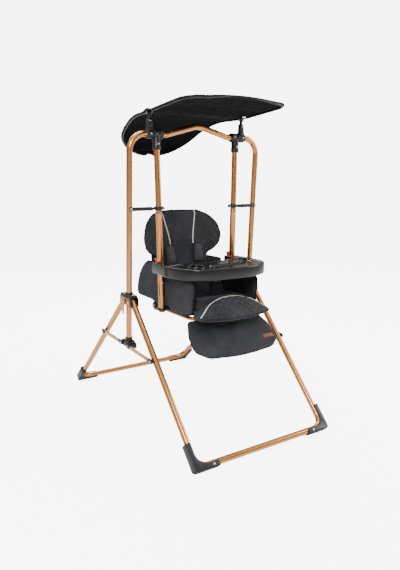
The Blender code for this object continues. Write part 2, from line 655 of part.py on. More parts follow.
def footrest(body):
    frame = FROM_CROSSBAR @ Matrix.Translation((0, SEAT_BAR_Y, SEAT_BAR_Z))
    frame = frame @ Matrix.Rotation(-FOOTREST_TILT, 4, "X")
    board = block("footrest_board", (-0.155, -0.003, -0.192), (0.155, 0.003, -0.0085), BOARD, frame,
                  0.002)
    for sign in (-1, 1):
        ends = [frame @ Vector((sign * x, 0, 0)) for x in (0.075, 0.100)]
        join(board, drum("footrest_collar", *ends, 0.0115, BOARD, 16))
    across = [frame @ Vector((x, 0, 0)) for x in (-0.2, 0.2)]
    cut(board, drum("footrest_bore", *across, bore_radius(0.008) + GAP, BOARD, TUBE_SIDES))
    hold(board, body)
    outline = rounded([((-0.172, -0.016, 0), 0.010), ((0.172, -0.016, 0), 0.010),
                       ((0.206, -0.095, 0), 0.050), ((0.208, -0.165, 0), 0.030),
                       ((0.160, -0.204, 0), 0.050), ((0.030, -0.217, 0), 0.30),
                       ((-0.030, -0.217, 0), 0.30), ((-0.160, -0.204, 0), 0.050),
                       ((-0.208, -0.165, 0), 0.030), ((-0.206, -0.095, 0), 0.050)], True)
    flat = frame @ Matrix.Translation((0, -0.0135, 0)) @ Matrix.Rotation(pi / 2, 4, "X")
    hold(plate("footrest_pad", outline, 0.019, CHARCOAL, flat, 0.006), body)


# Canopy: two bows and the fabric between each and the pivots
def canopy_profile(length, part):
    """A point of the side rail, and the direction square to it: front is part -1, rear is part 1."""
    if part < 0:
        rise = atan2(CANOPY_RISE, 1)
        return (-length * cos(rise), length * sin(rise)), (sin(rise), cos(rise))
    if length <= CANOPY_FLAT:
        return (length, 0.0), (0.0, 1.0)
    turn = (length - CANOPY_FLAT) / CANOPY_CURVE
    point = (CANOPY_FLAT + CANOPY_CURVE * sin(turn), CANOPY_CURVE * (cos(turn) - 1))
    return point, (sin(turn), cos(turn))


def canopy_length(part):
    if part < 0:
        return hypot(CANOPY_FRONT, CANOPY_FRONT * CANOPY_RISE)
    return CANOPY_FLAT + CANOPY_CURVE * asin((CANOPY_REAR - CANOPY_FLAT) / CANOPY_CURVE)


def canopy_rows(part):
    """Distances from the pivots along the rail, with the half width at each."""
    corner, taper = (0.080, 0) if part < 0 else (0.150, CANOPY_TAPER)
    total = canopy_length(part)
    straight = total - corner
    rows = [(0.017 + (straight - 0.017) * n / 5, 0.0) for n in range(6)]
    rows += [(straight + corner * sin(radians(a)), corner * (1 - cos(radians(a))))
             for a in (22.5, 45, 67.5, 90)]
    return [(length, inset + taper * length / total) for length, inset in rows]


def canopy_point(length, x, half, part, lift):
    """A point of the canopy, raised square to the rail by its crown and by the lift."""
    (y, z), (up_y, up_z) = canopy_profile(length, part)
    grow = min(1.0, length / 0.15)
    crown = (0.009 if part < 0 else 0.014) * (1 - (x / half) ** 2) * grow * grow * (3 - 2 * grow)
    height = crown + lift
    return place(x, y + up_y * height, CANOPY_Z + z + up_z * height)


def canopy(part, label, body):
    lift = BOW_R + 0.0005 + CANOPY_THICK / 2
    rows = []
    for length, inset in canopy_rows(part):
        half = BOW_X + 0.005 - inset
        rows.append([canopy_point(length, half * n / 4, half, part, lift) for n in range(-4, 5)])
    hold(surface(f"canopy_{label}_fabric", rows, CANOPY_THICK, NIGHT), body)

    tab_x = 0.2210 if part < 0 else BOW_X
    edge = [(length, BOW_X - inset) for length, inset in canopy_rows(part)]
    first = canopy_point(0, tab_x, tab_x, part, 0)
    clear = canopy_point(0.014, tab_x, tab_x, part, 0)
    right = [first, clear] + [canopy_point(length + (0.017 if n == 0 else 0), half, half, part, 0)
                              for n, (length, half) in enumerate(edge)]
    length, half = edge[-1]
    across = [canopy_point(length, half * n / 3, half, part, 0) for n in (2, 1, 0, -1, -2)]
    left = [Vector((-point.x, point.y, point.z)) for point in reversed(right)]
    bow = tube(f"canopy_{label}_bow", right + across + left, BOW_R, BLACK, sides=8)
    for side, sign in sides():
        ends = [place(sign * (tab_x + n), 0, CANOPY_Z) for n in (-0.0035, 0.0035)]
        join(bow, drum("bow_tab", *ends, 0.009, BLACK, 16))
        far = [place(sign * (tab_x + n), 0, CANOPY_Z) for n in (-0.01, 0.01)]
        cut(bow, drum("tab_bore", *far, 0.0031, BLACK, 12))
    hold(bow, body)


# The bodies, each on an empty on its joint's axis
root = axis_empty("frame_origin", (0, 0, 0))
upper_frame(root)

hubs = axis_empty("axis_leg_hubs", UPRIGHT @ Vector((0, 0, -HUB_DROP)), root)
for side_name, side_sign in sides():
    hub(side_name, side_sign, hubs)
for leg_label, leg_end in (("front", -1), ("rear", 1)):
    leg_axis = axis_empty(f"axis_{leg_label}_legs", leg_matrix(leg_end)[0].translation, hubs)
    leg_frame(leg_label, leg_end, leg_axis)
    brace_axis = axis_empty(f"axis_{leg_label}_braces",
                            UPRIGHT @ Vector((0, leg_end * BRACE_OFFSET, -BOTTOM_DROP)), root)
    for side_name, side_sign in sides():
        hold(brace(leg_label, leg_end, side_name, side_sign), brace_axis)

swing = axis_empty("axis_swing", place(0, 0, CROSS_Z), root)
for side_name, side_sign in sides():
    hanger(side_name, side_sign, swing)
    arm_axis = axis_empty(f"axis_lock_arm_{side_name}",
                          UPRIGHT @ Vector((side_sign * FRAME_X, -0.016, -0.2946)), root)
    hold(lock_arm(side_name, side_sign), arm_axis)
    latch_point = place(side_sign * hanger_x(0.6575), 0.018, 0.6575)
    hold(tray_latch(side_name, side_sign),
         axis_empty(f"axis_tray_latch_{side_name}", latch_point, swing))
seat(swing)
hold(tray_body(), axis_empty("axis_tray", place(0, 0, TRAY_LOW), swing))
backrest(axis_empty("axis_backrest", place(0, RECLINE_Y, RECLINE_Z), swing))
footrest(axis_empty("axis_footrest", place(0, SEAT_BAR_Y, SEAT_BAR_Z), swing))

rear_canopy = axis_empty("axis_canopy_rear", place(0, 0, CANOPY_Z), root)
front_canopy = axis_empty("axis_canopy_front", place(0, 0, CANOPY_Z), rear_canopy)
canopy(1, "rear", rear_canopy)
canopy(-1, "front", front_canopy)
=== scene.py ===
# %% [markdown]
# # Baby swing: the looks
# The imported model gives every hard part its place and its motion. This script builds what the
# eye sees on it: smooth bronze tubes, moulded black fittings, a polished tray, and padded cloth
# with quilting, piping and stitches. Most pieces name the body that they ride on.

import json
from math import acos, asin, atan2, cos, exp, hypot, pi, radians, sin, sqrt, tan

import bmesh
import bpy
import numpy as np
from mathutils import Matrix, Vector, noise
from mathutils.bvhtree import BVHTree
from mathutils.kdtree import KDTree

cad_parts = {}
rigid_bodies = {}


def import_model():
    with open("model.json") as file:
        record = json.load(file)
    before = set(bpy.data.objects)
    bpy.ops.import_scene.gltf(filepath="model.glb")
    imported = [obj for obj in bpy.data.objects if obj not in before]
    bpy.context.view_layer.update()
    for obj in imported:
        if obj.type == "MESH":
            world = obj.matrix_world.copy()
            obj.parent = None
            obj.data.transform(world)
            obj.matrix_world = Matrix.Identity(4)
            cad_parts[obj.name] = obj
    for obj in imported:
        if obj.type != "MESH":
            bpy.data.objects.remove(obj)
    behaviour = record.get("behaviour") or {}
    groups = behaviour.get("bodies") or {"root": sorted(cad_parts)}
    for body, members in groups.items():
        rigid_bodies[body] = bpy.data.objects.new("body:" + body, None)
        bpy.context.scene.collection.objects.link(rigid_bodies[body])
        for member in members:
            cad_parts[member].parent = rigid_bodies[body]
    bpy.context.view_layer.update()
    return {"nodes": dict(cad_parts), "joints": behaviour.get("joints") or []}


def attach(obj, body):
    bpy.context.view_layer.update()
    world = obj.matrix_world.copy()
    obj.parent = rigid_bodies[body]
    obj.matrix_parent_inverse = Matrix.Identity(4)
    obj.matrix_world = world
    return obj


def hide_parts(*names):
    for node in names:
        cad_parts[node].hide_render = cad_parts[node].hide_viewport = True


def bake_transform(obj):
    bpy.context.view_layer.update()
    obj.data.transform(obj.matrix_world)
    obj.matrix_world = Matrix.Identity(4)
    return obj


for old in list(bpy.data.objects):
    bpy.data.objects.remove(old, do_unlink=True)
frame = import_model()

# %% [markdown]
# ## Driving places
# The joints say where the pivots are, so the sizes below are few: the crossbar, the lean of the
# uprights, and the half widths of the tubes. Lengths along Y are given from the crossbar, because
# the seat hangs from it, and `place` moves them into the model.

# %% Joints and driving dimensions
JOINTS = {joint["name"]: joint for joint in frame["joints"]}
CROSS_Y, CROSS_Z = JOINTS["swing_turn"]["pos_m"][1:]
SLIDE = Vector(JOINTS["leg_fold"]["axis"])
LEAN = atan2(-SLIDE.y, SLIDE.z)
FRAME_X = 0.315
TUBE_R = 0.0125
LEG_BEND = 0.050
HANGER_R = 0.0135
HANGER_SEAM_Z, HANGER_LOW_Z = 0.905, 0.482
HANGER_TOP_X, HANGER_LOW_X = 0.197, 0.181
CANOPY_Z = JOINTS["canopy_tilt"]["pos_m"][2]
RECLINE_Y, RECLINE_Z = JOINTS["recline"]["pos_m"][1] - CROSS_Y, JOINTS["recline"]["pos_m"][2]
BAR_Y, BAR_Z = JOINTS["footrest_lift"]["pos_m"][1] - CROSS_Y, JOINTS["footrest_lift"]["pos_m"][2]
BACK_LEAN = atan2(0.070, 0.335)
FOOTREST_TILT = radians(50)
UPRIGHT = Matrix.Translation((0, CROSS_Y, CROSS_Z)) @ Matrix.Rotation(LEAN, 4, "X")
FROM_CROSSBAR = Matrix.Translation((0, CROSS_Y, 0))
SIDES = (("left", -1), ("right", 1))
ENDS = (("front", -1), ("rear", 1))


def place(x, y, z):
    """A point given from the floor and from the crossbar."""
    return Vector((x, CROSS_Y + y, z))


def hanger_point(sign, z):
    """A point on a hanger's axis: they draw together a little towards the seat."""
    part = (CROSS_Z - z) / (CROSS_Z - HANGER_LOW_Z)
    return place(sign * (HANGER_TOP_X + (HANGER_LOW_X - HANGER_TOP_X) * part), 0, z)


def leg_matrix(end):
    """A leg's own frame: the origin on its pivots, and -Z down the leg to its foot bar."""
    name = "front_leg_fold" if end < 0 else "rear_leg_fold"
    pivot = Vector((0, *JOINTS[name]["pos_m"][1:]))
    heading = Vector((0, end * 0.557, 0.020)) - pivot
    return Matrix.Translation(pivot) @ Matrix.Rotation(atan2(heading.y, -heading.z), 4, "X"), heading.length


print("crossbar", CROSS_Y, CROSS_Z, "lean", LEAN)

# %% [markdown]
# ## Camera, floor and light
# The camera stands at the left of the swing and a little above its seat, looking level enough to
# see the underside of the canopy.

# %% Camera
def into_scene(name, data):
    """A new object that is linked into the scene."""
    made = bpy.data.objects.new(name, data)
    bpy.context.scene.collection.objects.link(made)
    return made


camera_data = bpy.data.cameras.new("camera")
camera_data.sensor_fit = "AUTO"
camera_data.sensor_width = 36
camera_data.lens = 34.51
camera = into_scene("camera", camera_data)
camera.location = (-1.294, -2.061, 1.038)
camera.rotation_euler = (radians(79.011), 0, radians(-33.436))
bpy.context.scene.camera = camera

# %% [markdown]
# Every node tree of this script is written with the same two helpers. One wires or fills a
# node's inputs, and the other adds a node with its own settings first.

# %% Node helpers
def fill_inputs(tree, node, inputs):
    """Wire the inputs that are given a socket, and set those that are given a value."""
    for label, value in inputs.items():
        if isinstance(value, bpy.types.NodeSocket):
            tree.links.new(value, node.inputs[label])
        else:
            node.inputs[label].default_value = value
    return node


def add_node(tree, kind, inputs=None, **settings):
    """A new node with its settings made and its inputs filled."""
    node = tree.nodes.new(kind)
    for label, value in settings.items():
        setattr(node, label, value)
    return fill_inputs(tree, node, inputs or {})


# %% [markdown]
# A pale floor keeps the background quiet, so that the bronze and the black read clearly. It
# glows for the camera alone, as the backdrop does, so no horizon shows.

# %% Floor
FLOOR_GLOW, BACKDROP_GLOW = 6.0, 7.0
stage_mesh = bpy.data.meshes.new("floor")
stage_work = bmesh.new()
bmesh.ops.create_grid(stage_work, x_segments=1, y_segments=1, size=30)
stage_work.to_mesh(stage_mesh)
stage_work.free()
floor = into_scene("floor", stage_mesh)
pale = bpy.data.materials.new("pale_floor")
pale.use_nodes = True
first_ray = add_node(pale.node_tree, "ShaderNodeLightPath").outputs["Is Camera Ray"]
wash = add_node(pale.node_tree, "ShaderNodeMath", {0: first_ray, 1: FLOOR_GLOW}, operation="MULTIPLY")
fill_inputs(pale.node_tree, pale.node_tree.nodes["Principled BSDF"],
            {"Base Color": (0.93, 0.93, 0.93, 1), "Roughness": 0.9, "Emission Color": (1, 1, 1, 1),
             "Emission Strength": wash.outputs[0]})
floor.data.materials.append(pale)

# %% [markdown]
# The backdrop is white for the camera. For everything else it is a dome that grows brighter with
# height, and four large lamps stand in it: key, fill, rim and one overhead.

# %% Backdrop and lamps
world = bpy.data.worlds.new("studio")
world.use_nodes = True
sky = world.node_tree
backing = fill_inputs(sky, sky.nodes["Background"], {"Color": (1, 1, 1, 1), "Strength": BACKDROP_GLOW})
direction = add_node(sky, "ShaderNodeTexCoord").outputs["Generated"]
height = add_node(sky, "ShaderNodeSeparateXYZ", {0: direction}).outputs["Z"]
lift = add_node(sky, "ShaderNodeMapRange", {"Value": height, "From Min": -0.1, "From Max": 0.9,
                                            "To Min": 0.22, "To Max": 1.25})
glow = add_node(sky, "ShaderNodeBackground", {"Strength": lift.outputs["Result"]})
seen = add_node(sky, "ShaderNodeLightPath").outputs["Is Camera Ray"]
choice = add_node(sky, "ShaderNodeMixShader", {0: seen, 1: glow.outputs[0], 2: backing.outputs[0]})
sky.links.new(choice.outputs[0], sky.nodes["World Output"].inputs["Surface"])
bpy.context.scene.world = world


def soft_light(name, location, target, size, power):
    """A large area light that looks at a point."""
    data = bpy.data.lights.new(name, "AREA")
    data.size = size
    data.energy = power
    lamp = into_scene(name, data)
    lamp.location = location
    lamp.rotation_euler = (Vector(target) - Vector(location)).to_track_quat("-Z", "Y").to_euler()


soft_light("key", (-2.4, -2.9, 2.7), (0, 0, 0.7), 1.3, 130)
soft_light("fill", (3.0, -1.6, 1.9), (0, 0, 0.7), 1.6, 75)
soft_light("rim", (0.8, 2.8, 2.6), (0, 0, 0.9), 1.6, 90)
soft_light("over", (0.0, 0.0, 4.2), (0, 0, 0), 3.2, 120)

# %% [markdown]
# ## Shared shader effects
# Three effects come up in several finishes, so each is one node group with its own sliders.
# *Weave* crosses two wave patterns for over-and-under threads. *Fine grain* is the pebbled skin
# of moulded plastic. *Blotch* is the slow change of tone that keeps a large surface from looking
# like a computer's. The groups give out values only. The shader stays in each material.

# %% Group helpers
def new_group(name, inputs, outputs, family="ShaderNodeTree"):
    """An empty node group with its sockets. Each input is (name, kind, default or None)."""
    group = bpy.data.node_groups.new(name, family)
    for label, kind, default in inputs:
        socket = group.interface.new_socket(label, in_out="INPUT", socket_type=f"NodeSocket{kind}")
        if default is not None:
            socket.default_value = default
    for label, kind in outputs:
        group.interface.new_socket(label, in_out="OUTPUT", socket_type=f"NodeSocket{kind}")
    return group, group.nodes.new("NodeGroupInput"), group.nodes.new("NodeGroupOutput")


def math_node(tree, operation, *values):
    """The result of one operation on sockets and numbers."""
    return add_node(tree, "ShaderNodeMath", dict(enumerate(values)), operation=operation).outputs[0]


def scaled_position(tree, scale):
    """The piece's own position times a scale."""
    where = add_node(tree, "ShaderNodeTexCoord").outputs["Object"]
    return add_node(tree, "ShaderNodeVectorMath", {0: where, "Scale": scale},
                    operation="SCALE").outputs[0]


# %% [markdown]
# The weave's height is the product of two sines, one for each run of threads, roughened by a
# noise that thickens some threads more than others.

# %% The weave group
weave, weave_in, weave_out = new_group("weave", [("Threads", "Float", 900.0), ("Slub", "Float", 0.35)],
                                       [("Height", "Float"), ("Tone_and_shade", "Float")])
weave_place = scaled_position(weave, weave_in.outputs["Threads"])
axes = add_node(weave, "ShaderNodeSeparateXYZ", {0: weave_place}).outputs
warp = math_node(weave, "SINE", math_node(weave, "ADD", axes[0], axes[1]))
weft = math_node(weave, "SINE", axes[2])
crossed = math_node(weave, "MULTIPLY", warp, weft)
slub = add_node(weave, "ShaderNodeTexNoise", {"Vector": weave_place, "Scale": 0.35, "Detail": 3})
uneven = math_node(weave, "MULTIPLY", slub.outputs["Fac"], weave_in.outputs["Slub"])
over_under = math_node(weave, "MULTIPLY", crossed, 0.5)
weave.links.new(math_node(weave, "ADD", over_under, uneven), weave_out.inputs["Height"])
# Painted shade: the colour is darker where the weave sits low, following its height; the slub noise adds uneven yarn
# tone.
weave_shade = math_node(weave, "MULTIPLY", crossed, 0.18)
weave.links.new(math_node(weave, "ADD", weave_shade, slub.outputs["Fac"]), weave_out.inputs["Tone_and_shade"])

# %% [markdown]
# The grain is a field of soft cells. The blotch is a slow cloud, spread between two limits that
# each material chooses.

# %% The grain and blotch groups
grain, grain_in, grain_out = new_group("fine_grain", [("Size", "Float", 900.0)], [("Height", "Float")])
pebbles = add_node(grain, "ShaderNodeTexVoronoi", feature="SMOOTH_F1")
fill_inputs(grain, pebbles, {"Vector": scaled_position(grain, grain_in.outputs["Size"]), "Scale": 1})
grain.links.new(pebbles.outputs["Distance"], grain_out.inputs["Height"])

blotch, blotch_in, blotch_out = new_group(
    "blotch", [("Size", "Float", 14.0), ("Low", "Float", 0.0), ("High", "Float", 1.0)],
    [("Value", "Float")])
clouds = add_node(blotch, "ShaderNodeTexNoise",
                  {"Vector": scaled_position(blotch, blotch_in.outputs["Size"]), "Scale": 1, "Detail": 4})
spread = add_node(blotch, "ShaderNodeMapRange",
                  {"Value": clouds.outputs["Fac"], "From Min": 0.3, "From Max": 0.7,
                   "To Min": blotch_in.outputs["Low"], "To Max": blotch_in.outputs["High"]})
blotch.links.new(spread.outputs["Result"], blotch_out.inputs["Value"])

# %% [markdown]
# ## Materials
# Each finish mixes two close colours by the blotch, takes its fine relief from the weave or the
# grain through a Bump node, and keeps its own roughness, sheen or clear coat.

# %% A material with two colours and one relief
def finish_of(name, dark, light, roughness, relief=None, blotch_size=14.0, strength=0.15,
              metallic=0.0, sheen=0.0, coat=0.0, spread=0.06, threads=900.0, distance=0.0006,
              specular=0.5):
    """A Principled material: colours blend by a blotch, and on cloth by the weave's tone, which carries painted shade
    in the weave's hollows.
    """
    made = bpy.data.materials.new(name)
    made.use_nodes = True
    tree = made.node_tree
    factor = add_node(tree, "ShaderNodeGroup", node_tree=blotch)
    factor = fill_inputs(tree, factor, {"Size": blotch_size}).outputs["Value"]
    rough = add_node(tree, "ShaderNodeGroup", node_tree=blotch)
    fill_inputs(tree, rough, {"Size": blotch_size * 2.3, "Low": roughness - spread,
                              "High": roughness + spread})
    looks = {"Roughness": rough.outputs["Value"], "Metallic": metallic, "Specular IOR Level": specular,
             "Sheen Weight": sheen, "Sheen Roughness": 0.45, "Coat Weight": coat,
             "Coat Roughness": 0.08}
    if relief:
        surface = add_node(tree, "ShaderNodeGroup", node_tree=weave if relief == "weave" else grain)
        surface.inputs[0].default_value = threads
        bump = add_node(tree, "ShaderNodeBump", {"Strength": strength, "Distance": distance,
                                                 "Height": surface.outputs["Height"]})
        looks["Normal"] = bump.outputs["Normal"]
    # On cloth the colours also follow the weave: painted shade in its hollows, and uneven yarn tone from the slub.
    if relief == "weave":
        both = math_node(tree, "ADD", surface.outputs["Tone_and_shade"], factor)
        factor = math_node(tree, "MULTIPLY", both, 0.5)
    mix = add_node(tree, "ShaderNodeMix", data_type="RGBA")
    fill_inputs(tree, mix, {"Factor": factor, "A": (*dark, 1), "B": (*light, 1)})
    looks["Base Color"] = mix.outputs["Result"]
    fill_inputs(tree, tree.nodes["Principled BSDF"], looks)
    return made


# %% [markdown]
# The bronze is a metallic paint under a thin clear coat. The plastics differ by their gloss, and
# the cloths by their thread count and how much they shine.

# %% The finishes of this swing
BRONZE = finish_of("bronze_paint", (0.560, 0.240, 0.066), (0.610, 0.268, 0.078), 0.24, "grain",
                   blotch_size=7, strength=0.010, metallic=0.95, coat=0.25, spread=0.015,
                   threads=2600, distance=0.0002)
BLACK = finish_of("moulded_black", (0.007, 0.007, 0.008), (0.013, 0.013, 0.014), 0.38, "grain",
                  blotch_size=30, strength=0.10, threads=1100, specular=0.38)
GLOSS = finish_of("polished_black", (0.004, 0.004, 0.0045), (0.007, 0.007, 0.0075), 0.17,
                  blotch_size=6, spread=0.03, specular=0.42)
STEEL = finish_of("zinc_steel", (0.55, 0.55, 0.56), (0.72, 0.72, 0.73), 0.26, "grain",
                  blotch_size=60, strength=0.06, metallic=1.0)
RED = finish_of("moulded_red", (0.62, 0.008, 0.008), (0.78, 0.014, 0.012), 0.32, "grain",
                blotch_size=40, strength=0.05, coat=0.2)
CHARCOAL = finish_of("charcoal_cloth", (0.013, 0.0135, 0.015), (0.042, 0.043, 0.048), 0.88, "weave",
                     strength=0.45, sheen=0.10, specular=0.15)
SLATE = finish_of("slate_cloth", (0.010, 0.0115, 0.015), (0.030, 0.033, 0.042), 0.88, "weave",
                  strength=0.4, sheen=0.08, specular=0.15)
GREY = finish_of("grey_pad_cloth", (0.028, 0.029, 0.031), (0.066, 0.067, 0.070), 0.88, "weave",
                 strength=0.5, sheen=0.15, threads=700, specular=0.15)
NIGHT = finish_of("canopy_cloth", (0.0016, 0.0016, 0.0022), (0.0048, 0.0048, 0.0058), 0.88, "weave",
                  strength=0.3, sheen=0.0, specular=0.05)
BINDING = finish_of("black_binding", (0.004, 0.004, 0.0045), (0.011, 0.011, 0.012), 0.72, "weave",
                    strength=0.5, threads=1300, specular=0.2)
WEBBING = finish_of("black_webbing", (0.006, 0.006, 0.007), (0.020, 0.020, 0.022), 0.66, "weave",
                    strength=0.7, threads=1500, distance=0.0008, specular=0.25)
CREAM = finish_of("cream_piping", (0.64, 0.61, 0.54), (0.84, 0.81, 0.75), 0.6, "weave",
                  strength=0.5, threads=2200)
THREAD = finish_of("grey_thread", (0.024, 0.024, 0.027), (0.055, 0.055, 0.060), 0.7, "weave",
                   strength=0.3, threads=4000, specular=0.3)
LEATHER = finish_of("brown_leather", (0.150, 0.036, 0.018), (0.235, 0.062, 0.032), 0.55, "grain",
                    blotch_size=60, strength=0.35, threads=1600, specular=0.35)
BOARD = finish_of("grey_board", (0.020, 0.020, 0.022), (0.034, 0.034, 0.037), 0.6, "grain",
                  blotch_size=20, strength=0.2, threads=900, specular=0.3)
print("materials", len(bpy.data.materials))

# %% [markdown]
# ## Making pieces
# `add` gives a piece its finish and its body in one line.

# %% Handing a piece in
def mesh_from(name, work):
    """Turn a bmesh into a mesh with its faces pointing out."""
    bmesh.ops.recalc_face_normals(work, faces=work.faces)
    mesh = bpy.data.meshes.new(name)
    work.to_mesh(mesh)
    work.free()
    return mesh


def evaluated(piece):
    """A new mesh of the piece with its modifiers applied."""
    return bpy.data.meshes.new_from_object(
        piece.evaluated_get(bpy.context.evaluated_depsgraph_get()))


def add(name, work, finish, body, replaces=(), smooth=50):
    """Turn a bmesh (or a mesh) into a finished piece that rides on a body."""
    mesh = work if isinstance(work, bpy.types.Mesh) else mesh_from(name, work)
    if len(mesh.materials) == 0:
        mesh.materials.append(finish)
    mesh.shade_smooth()
    if smooth:
        mesh.set_sharp_from_angle(angle=radians(smooth))
    made = into_scene(name, mesh)
    if isinstance(body, str):
        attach(made, body)
    if replaces:
        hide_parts(*replaces)
    return made


# %% [markdown]
# Most shapes start as a line of points. It may have true arcs at its corners, points at even
# steps, or its kinks eased away.

# %% Lines
def rounded(corners, closed=False, step=radians(6)):
    """A polyline through the corners, each (point, radius), with arcs at the rounded ones."""
    found = []
    count = len(corners)
    for n, (point, radius) in enumerate(corners):
        point = Vector(point)
        if not radius or (not closed and n in (0, count - 1)):
            found.append(point)
            continue
        before = (Vector(corners[n - 1][0]) - point).normalized()
        after = (Vector(corners[(n + 1) % count][0]) - point).normalized()
        inside = acos(max(-1, min(1, before.dot(after))))
        reach = radius / tan(inside / 2)
        middle = point + (before + after).normalized() * (radius / sin(inside / 2))
        first = point + before * reach - middle
        last = point + after * reach - middle
        sweep = pi - inside
        steps = max(2, round(sweep / step))
        for k in range(steps + 1):
            part = k / steps
            turn = (first * sin(sweep * (1 - part)) + last * sin(sweep * part)) / sin(sweep)
            found.append(middle + turn)
    return found


def evened(points, spacing, closed=False):
    """The same line with points a constant distance apart."""
    line = [Vector(p) for p in points] + ([Vector(points[0])] if closed else [])
    lengths = [0.0]
    for first, second in zip(line, line[1:]):
        lengths.append(lengths[-1] + (second - first).length)
    count = max(2, round(lengths[-1] / spacing))
    found = []
    spot = 0
    for n in range(count if closed else count + 1):
        want = lengths[-1] * n / count
        while spot < len(lengths) - 2 and lengths[spot + 1] < want:
            spot += 1
        part = (want - lengths[spot]) / max(1e-9, lengths[spot + 1] - lengths[spot])
        found.append(line[spot].lerp(line[spot + 1], min(1, max(0, part))))
    return found


def relaxed(points, rounds, closed=False):
    """The line with its corners eased by averaging neighbours."""
    line = [Vector(p) for p in points]
    for _ in range(rounds):
        fresh = []
        for n, point in enumerate(line):
            if not closed and n in (0, len(line) - 1):
                fresh.append(point)
                continue
            fresh.append((line[n - 1] + point * 2 + line[(n + 1) % len(line)]) / 4)
        line = fresh
    return line


# %% [markdown]
# The lines become solids in four ways: a section swept along a line, a profile turned about an
# axis, a plate with eased rims, and a moulded box. All of them join rings of points with faces.

# %% Swept and turned solids
def joined(work, rings, closed=False):
    """Faces from each ring to the next. A row of rings that isn't closed gets a cap at each end."""
    pairs = list(zip(rings, rings[1:]))
    if closed:
        pairs.append((rings[-1], rings[0]))
    for first, second in pairs:
        for n in range(len(first)):
            after = (n + 1) % len(first)
            work.faces.new((first[n], first[after], second[after], second[n]))
    if not closed:
        work.faces.new(rings[0][::-1])
        work.faces.new(rings[-1])
    return work


def sweep_into(work, points, radius, sides=24, closed=False, up=None):
    """Sweep a round section along a line."""
    line = [Vector(p) for p in points]
    count = len(line)
    rings = []
    normal = None
    for n, point in enumerate(line):
        ahead = line[(n + 1) % count] if closed or n < count - 1 else point
        behind = line[n - 1] if closed or n > 0 else point
        heading = (ahead - behind).normalized()
        if up:
            normal = Vector(up)
        elif normal is None:
            normal = heading.orthogonal()
        normal = (normal - heading * normal.dot(heading)).normalized()
        side_way = heading.cross(normal)
        turns = [2 * pi * k / sides for k in range(sides)]
        rings.append([work.verts.new(point + normal * cos(angle) * radius + side_way * sin(angle) * radius)
                      for angle in turns])
    return joined(work, rings, closed)


def swept(points, radius, sides=24, up=None, matrix=Matrix()):
    """A round bar along a line that is given in another frame."""
    return sweep_into(bmesh.new(), [matrix @ Vector(p) for p in points], radius, sides, up=up)


def turned_into(work, profile, start, end, sides=28):
    """A turned solid: the profile is (distance along, radius) from start towards end."""
    start, end = Vector(start), Vector(end)
    along = (end - start).normalized()
    across = along.orthogonal().normalized()
    other = along.cross(across)
    rings = []
    for distance, radius in profile:
        centre = start + along * distance
        if radius < 1e-6:
            rings.append([work.verts.new(centre)])
            continue
        rings.append([work.verts.new(centre + (across * cos(2 * pi * k / sides)
                                               + other * sin(2 * pi * k / sides)) * radius)
                      for k in range(sides)])
    for first, second in zip(rings, rings[1:]):
        for k in range(sides):
            after = (k + 1) % sides
            if len(first) == 1 and len(second) == 1:
                continue
            if len(first) == 1:
                work.faces.new((first[0], second[after], second[k]))
            elif len(second) == 1:
                work.faces.new((first[k], first[after], second[0]))
            else:
                work.faces.new((first[k], first[after], second[after], second[k]))
    for ring, turn in ((rings[0], -1), (rings[-1], 1)):
        if len(ring) > 1:
            work.faces.new(ring[::turn])
    return work


def collar(low, high, radius, edge=0.0015):
    """The profile of a round boss with eased edges."""
    return [(low, radius - edge), (low + edge * 0.3, radius - edge * 0.3), (low + edge, radius),
            (high - edge, radius), (high - edge * 0.3, radius - edge * 0.3), (high, radius - edge)]


def dome(height, radius):
    """The profile of a rivet head: a short wall, a shoulder and a low dome with a dimple."""
    return [(0, radius), (height * 0.35, radius), (height * 0.62, radius * 0.88),
            (height * 0.86, radius * 0.62), (height, radius * 0.34),
            (height * 0.93, radius * 0.16), (height * 0.90, 0)]


# %% [markdown]
# A moulded plate has no sharp rim. Its outline is stepped inwards along a quarter turn on the way
# to each face, which gives the eased edge that a mould leaves.

# %% Plates and blocks
def slab_into(work, outline, low, high, matrix, edge=0.0015, steps=2):
    """A plate between two heights of a plane, its rims rounded by stepping the outline inwards."""
    count = len(outline)
    flat = [Vector((p[0], p[1])) for p in outline]
    area = sum(flat[n - 1].x * flat[n].y - flat[n].x * flat[n - 1].y for n in range(count))
    if area < 0:
        flat.reverse()
    inward = []
    for n in range(count):
        before = (flat[n] - flat[n - 1]).normalized()
        after = (flat[(n + 1) % count] - flat[n]).normalized()
        middle = (before + after).normalized()
        normal = Vector((-middle.y, middle.x))
        inward.append(normal / max(0.5, normal.dot(Vector((-before.y, before.x)))))
    bottom = [(low + edge * (1 - sin(pi / 2 * k / steps)), edge * (1 - cos(pi / 2 * k / steps)))
              for k in range(steps, -1, -1)]
    top = [(low + high - z, inset) for z, inset in reversed(bottom)]
    rings = []
    for z, inset in bottom + top:
        spots = [flat[n] + inward[n] * inset for n in range(count)]
        rings.append([work.verts.new(matrix @ Vector((*spot, z))) for spot in spots])
    return joined(work, rings)


def block_into(work, low, high, matrix=Matrix(), edge=0.002, taper=(1.0, 1.0), round_corner=0.003):
    """A moulded box: rounded uprights and rims, with a taper of its top face."""
    x0, y0, z0 = low
    x1, y1, z1 = high
    outline = rounded([((x0, y0, 0), round_corner), ((x1, y0, 0), round_corner),
                       ((x1, y1, 0), round_corner), ((x0, y1, 0), round_corner)], True, radians(18))
    first = len(work.verts)
    slab_into(work, outline, z0, z1, Matrix(), edge)
    work.verts.ensure_lookup_table()
    centre = Vector(((x0 + x1) / 2, (y0 + y1) / 2, 0))
    for vert in work.verts[first:]:
        part = (vert.co.z - z0) / (z1 - z0)
        vert.co.x = centre.x + (vert.co.x - centre.x) * (1 + (taper[0] - 1) * part)
        vert.co.y = centre.y + (vert.co.y - centre.y) * (1 + (taper[1] - 1) * part)
        vert.co = matrix @ vert.co
    return work


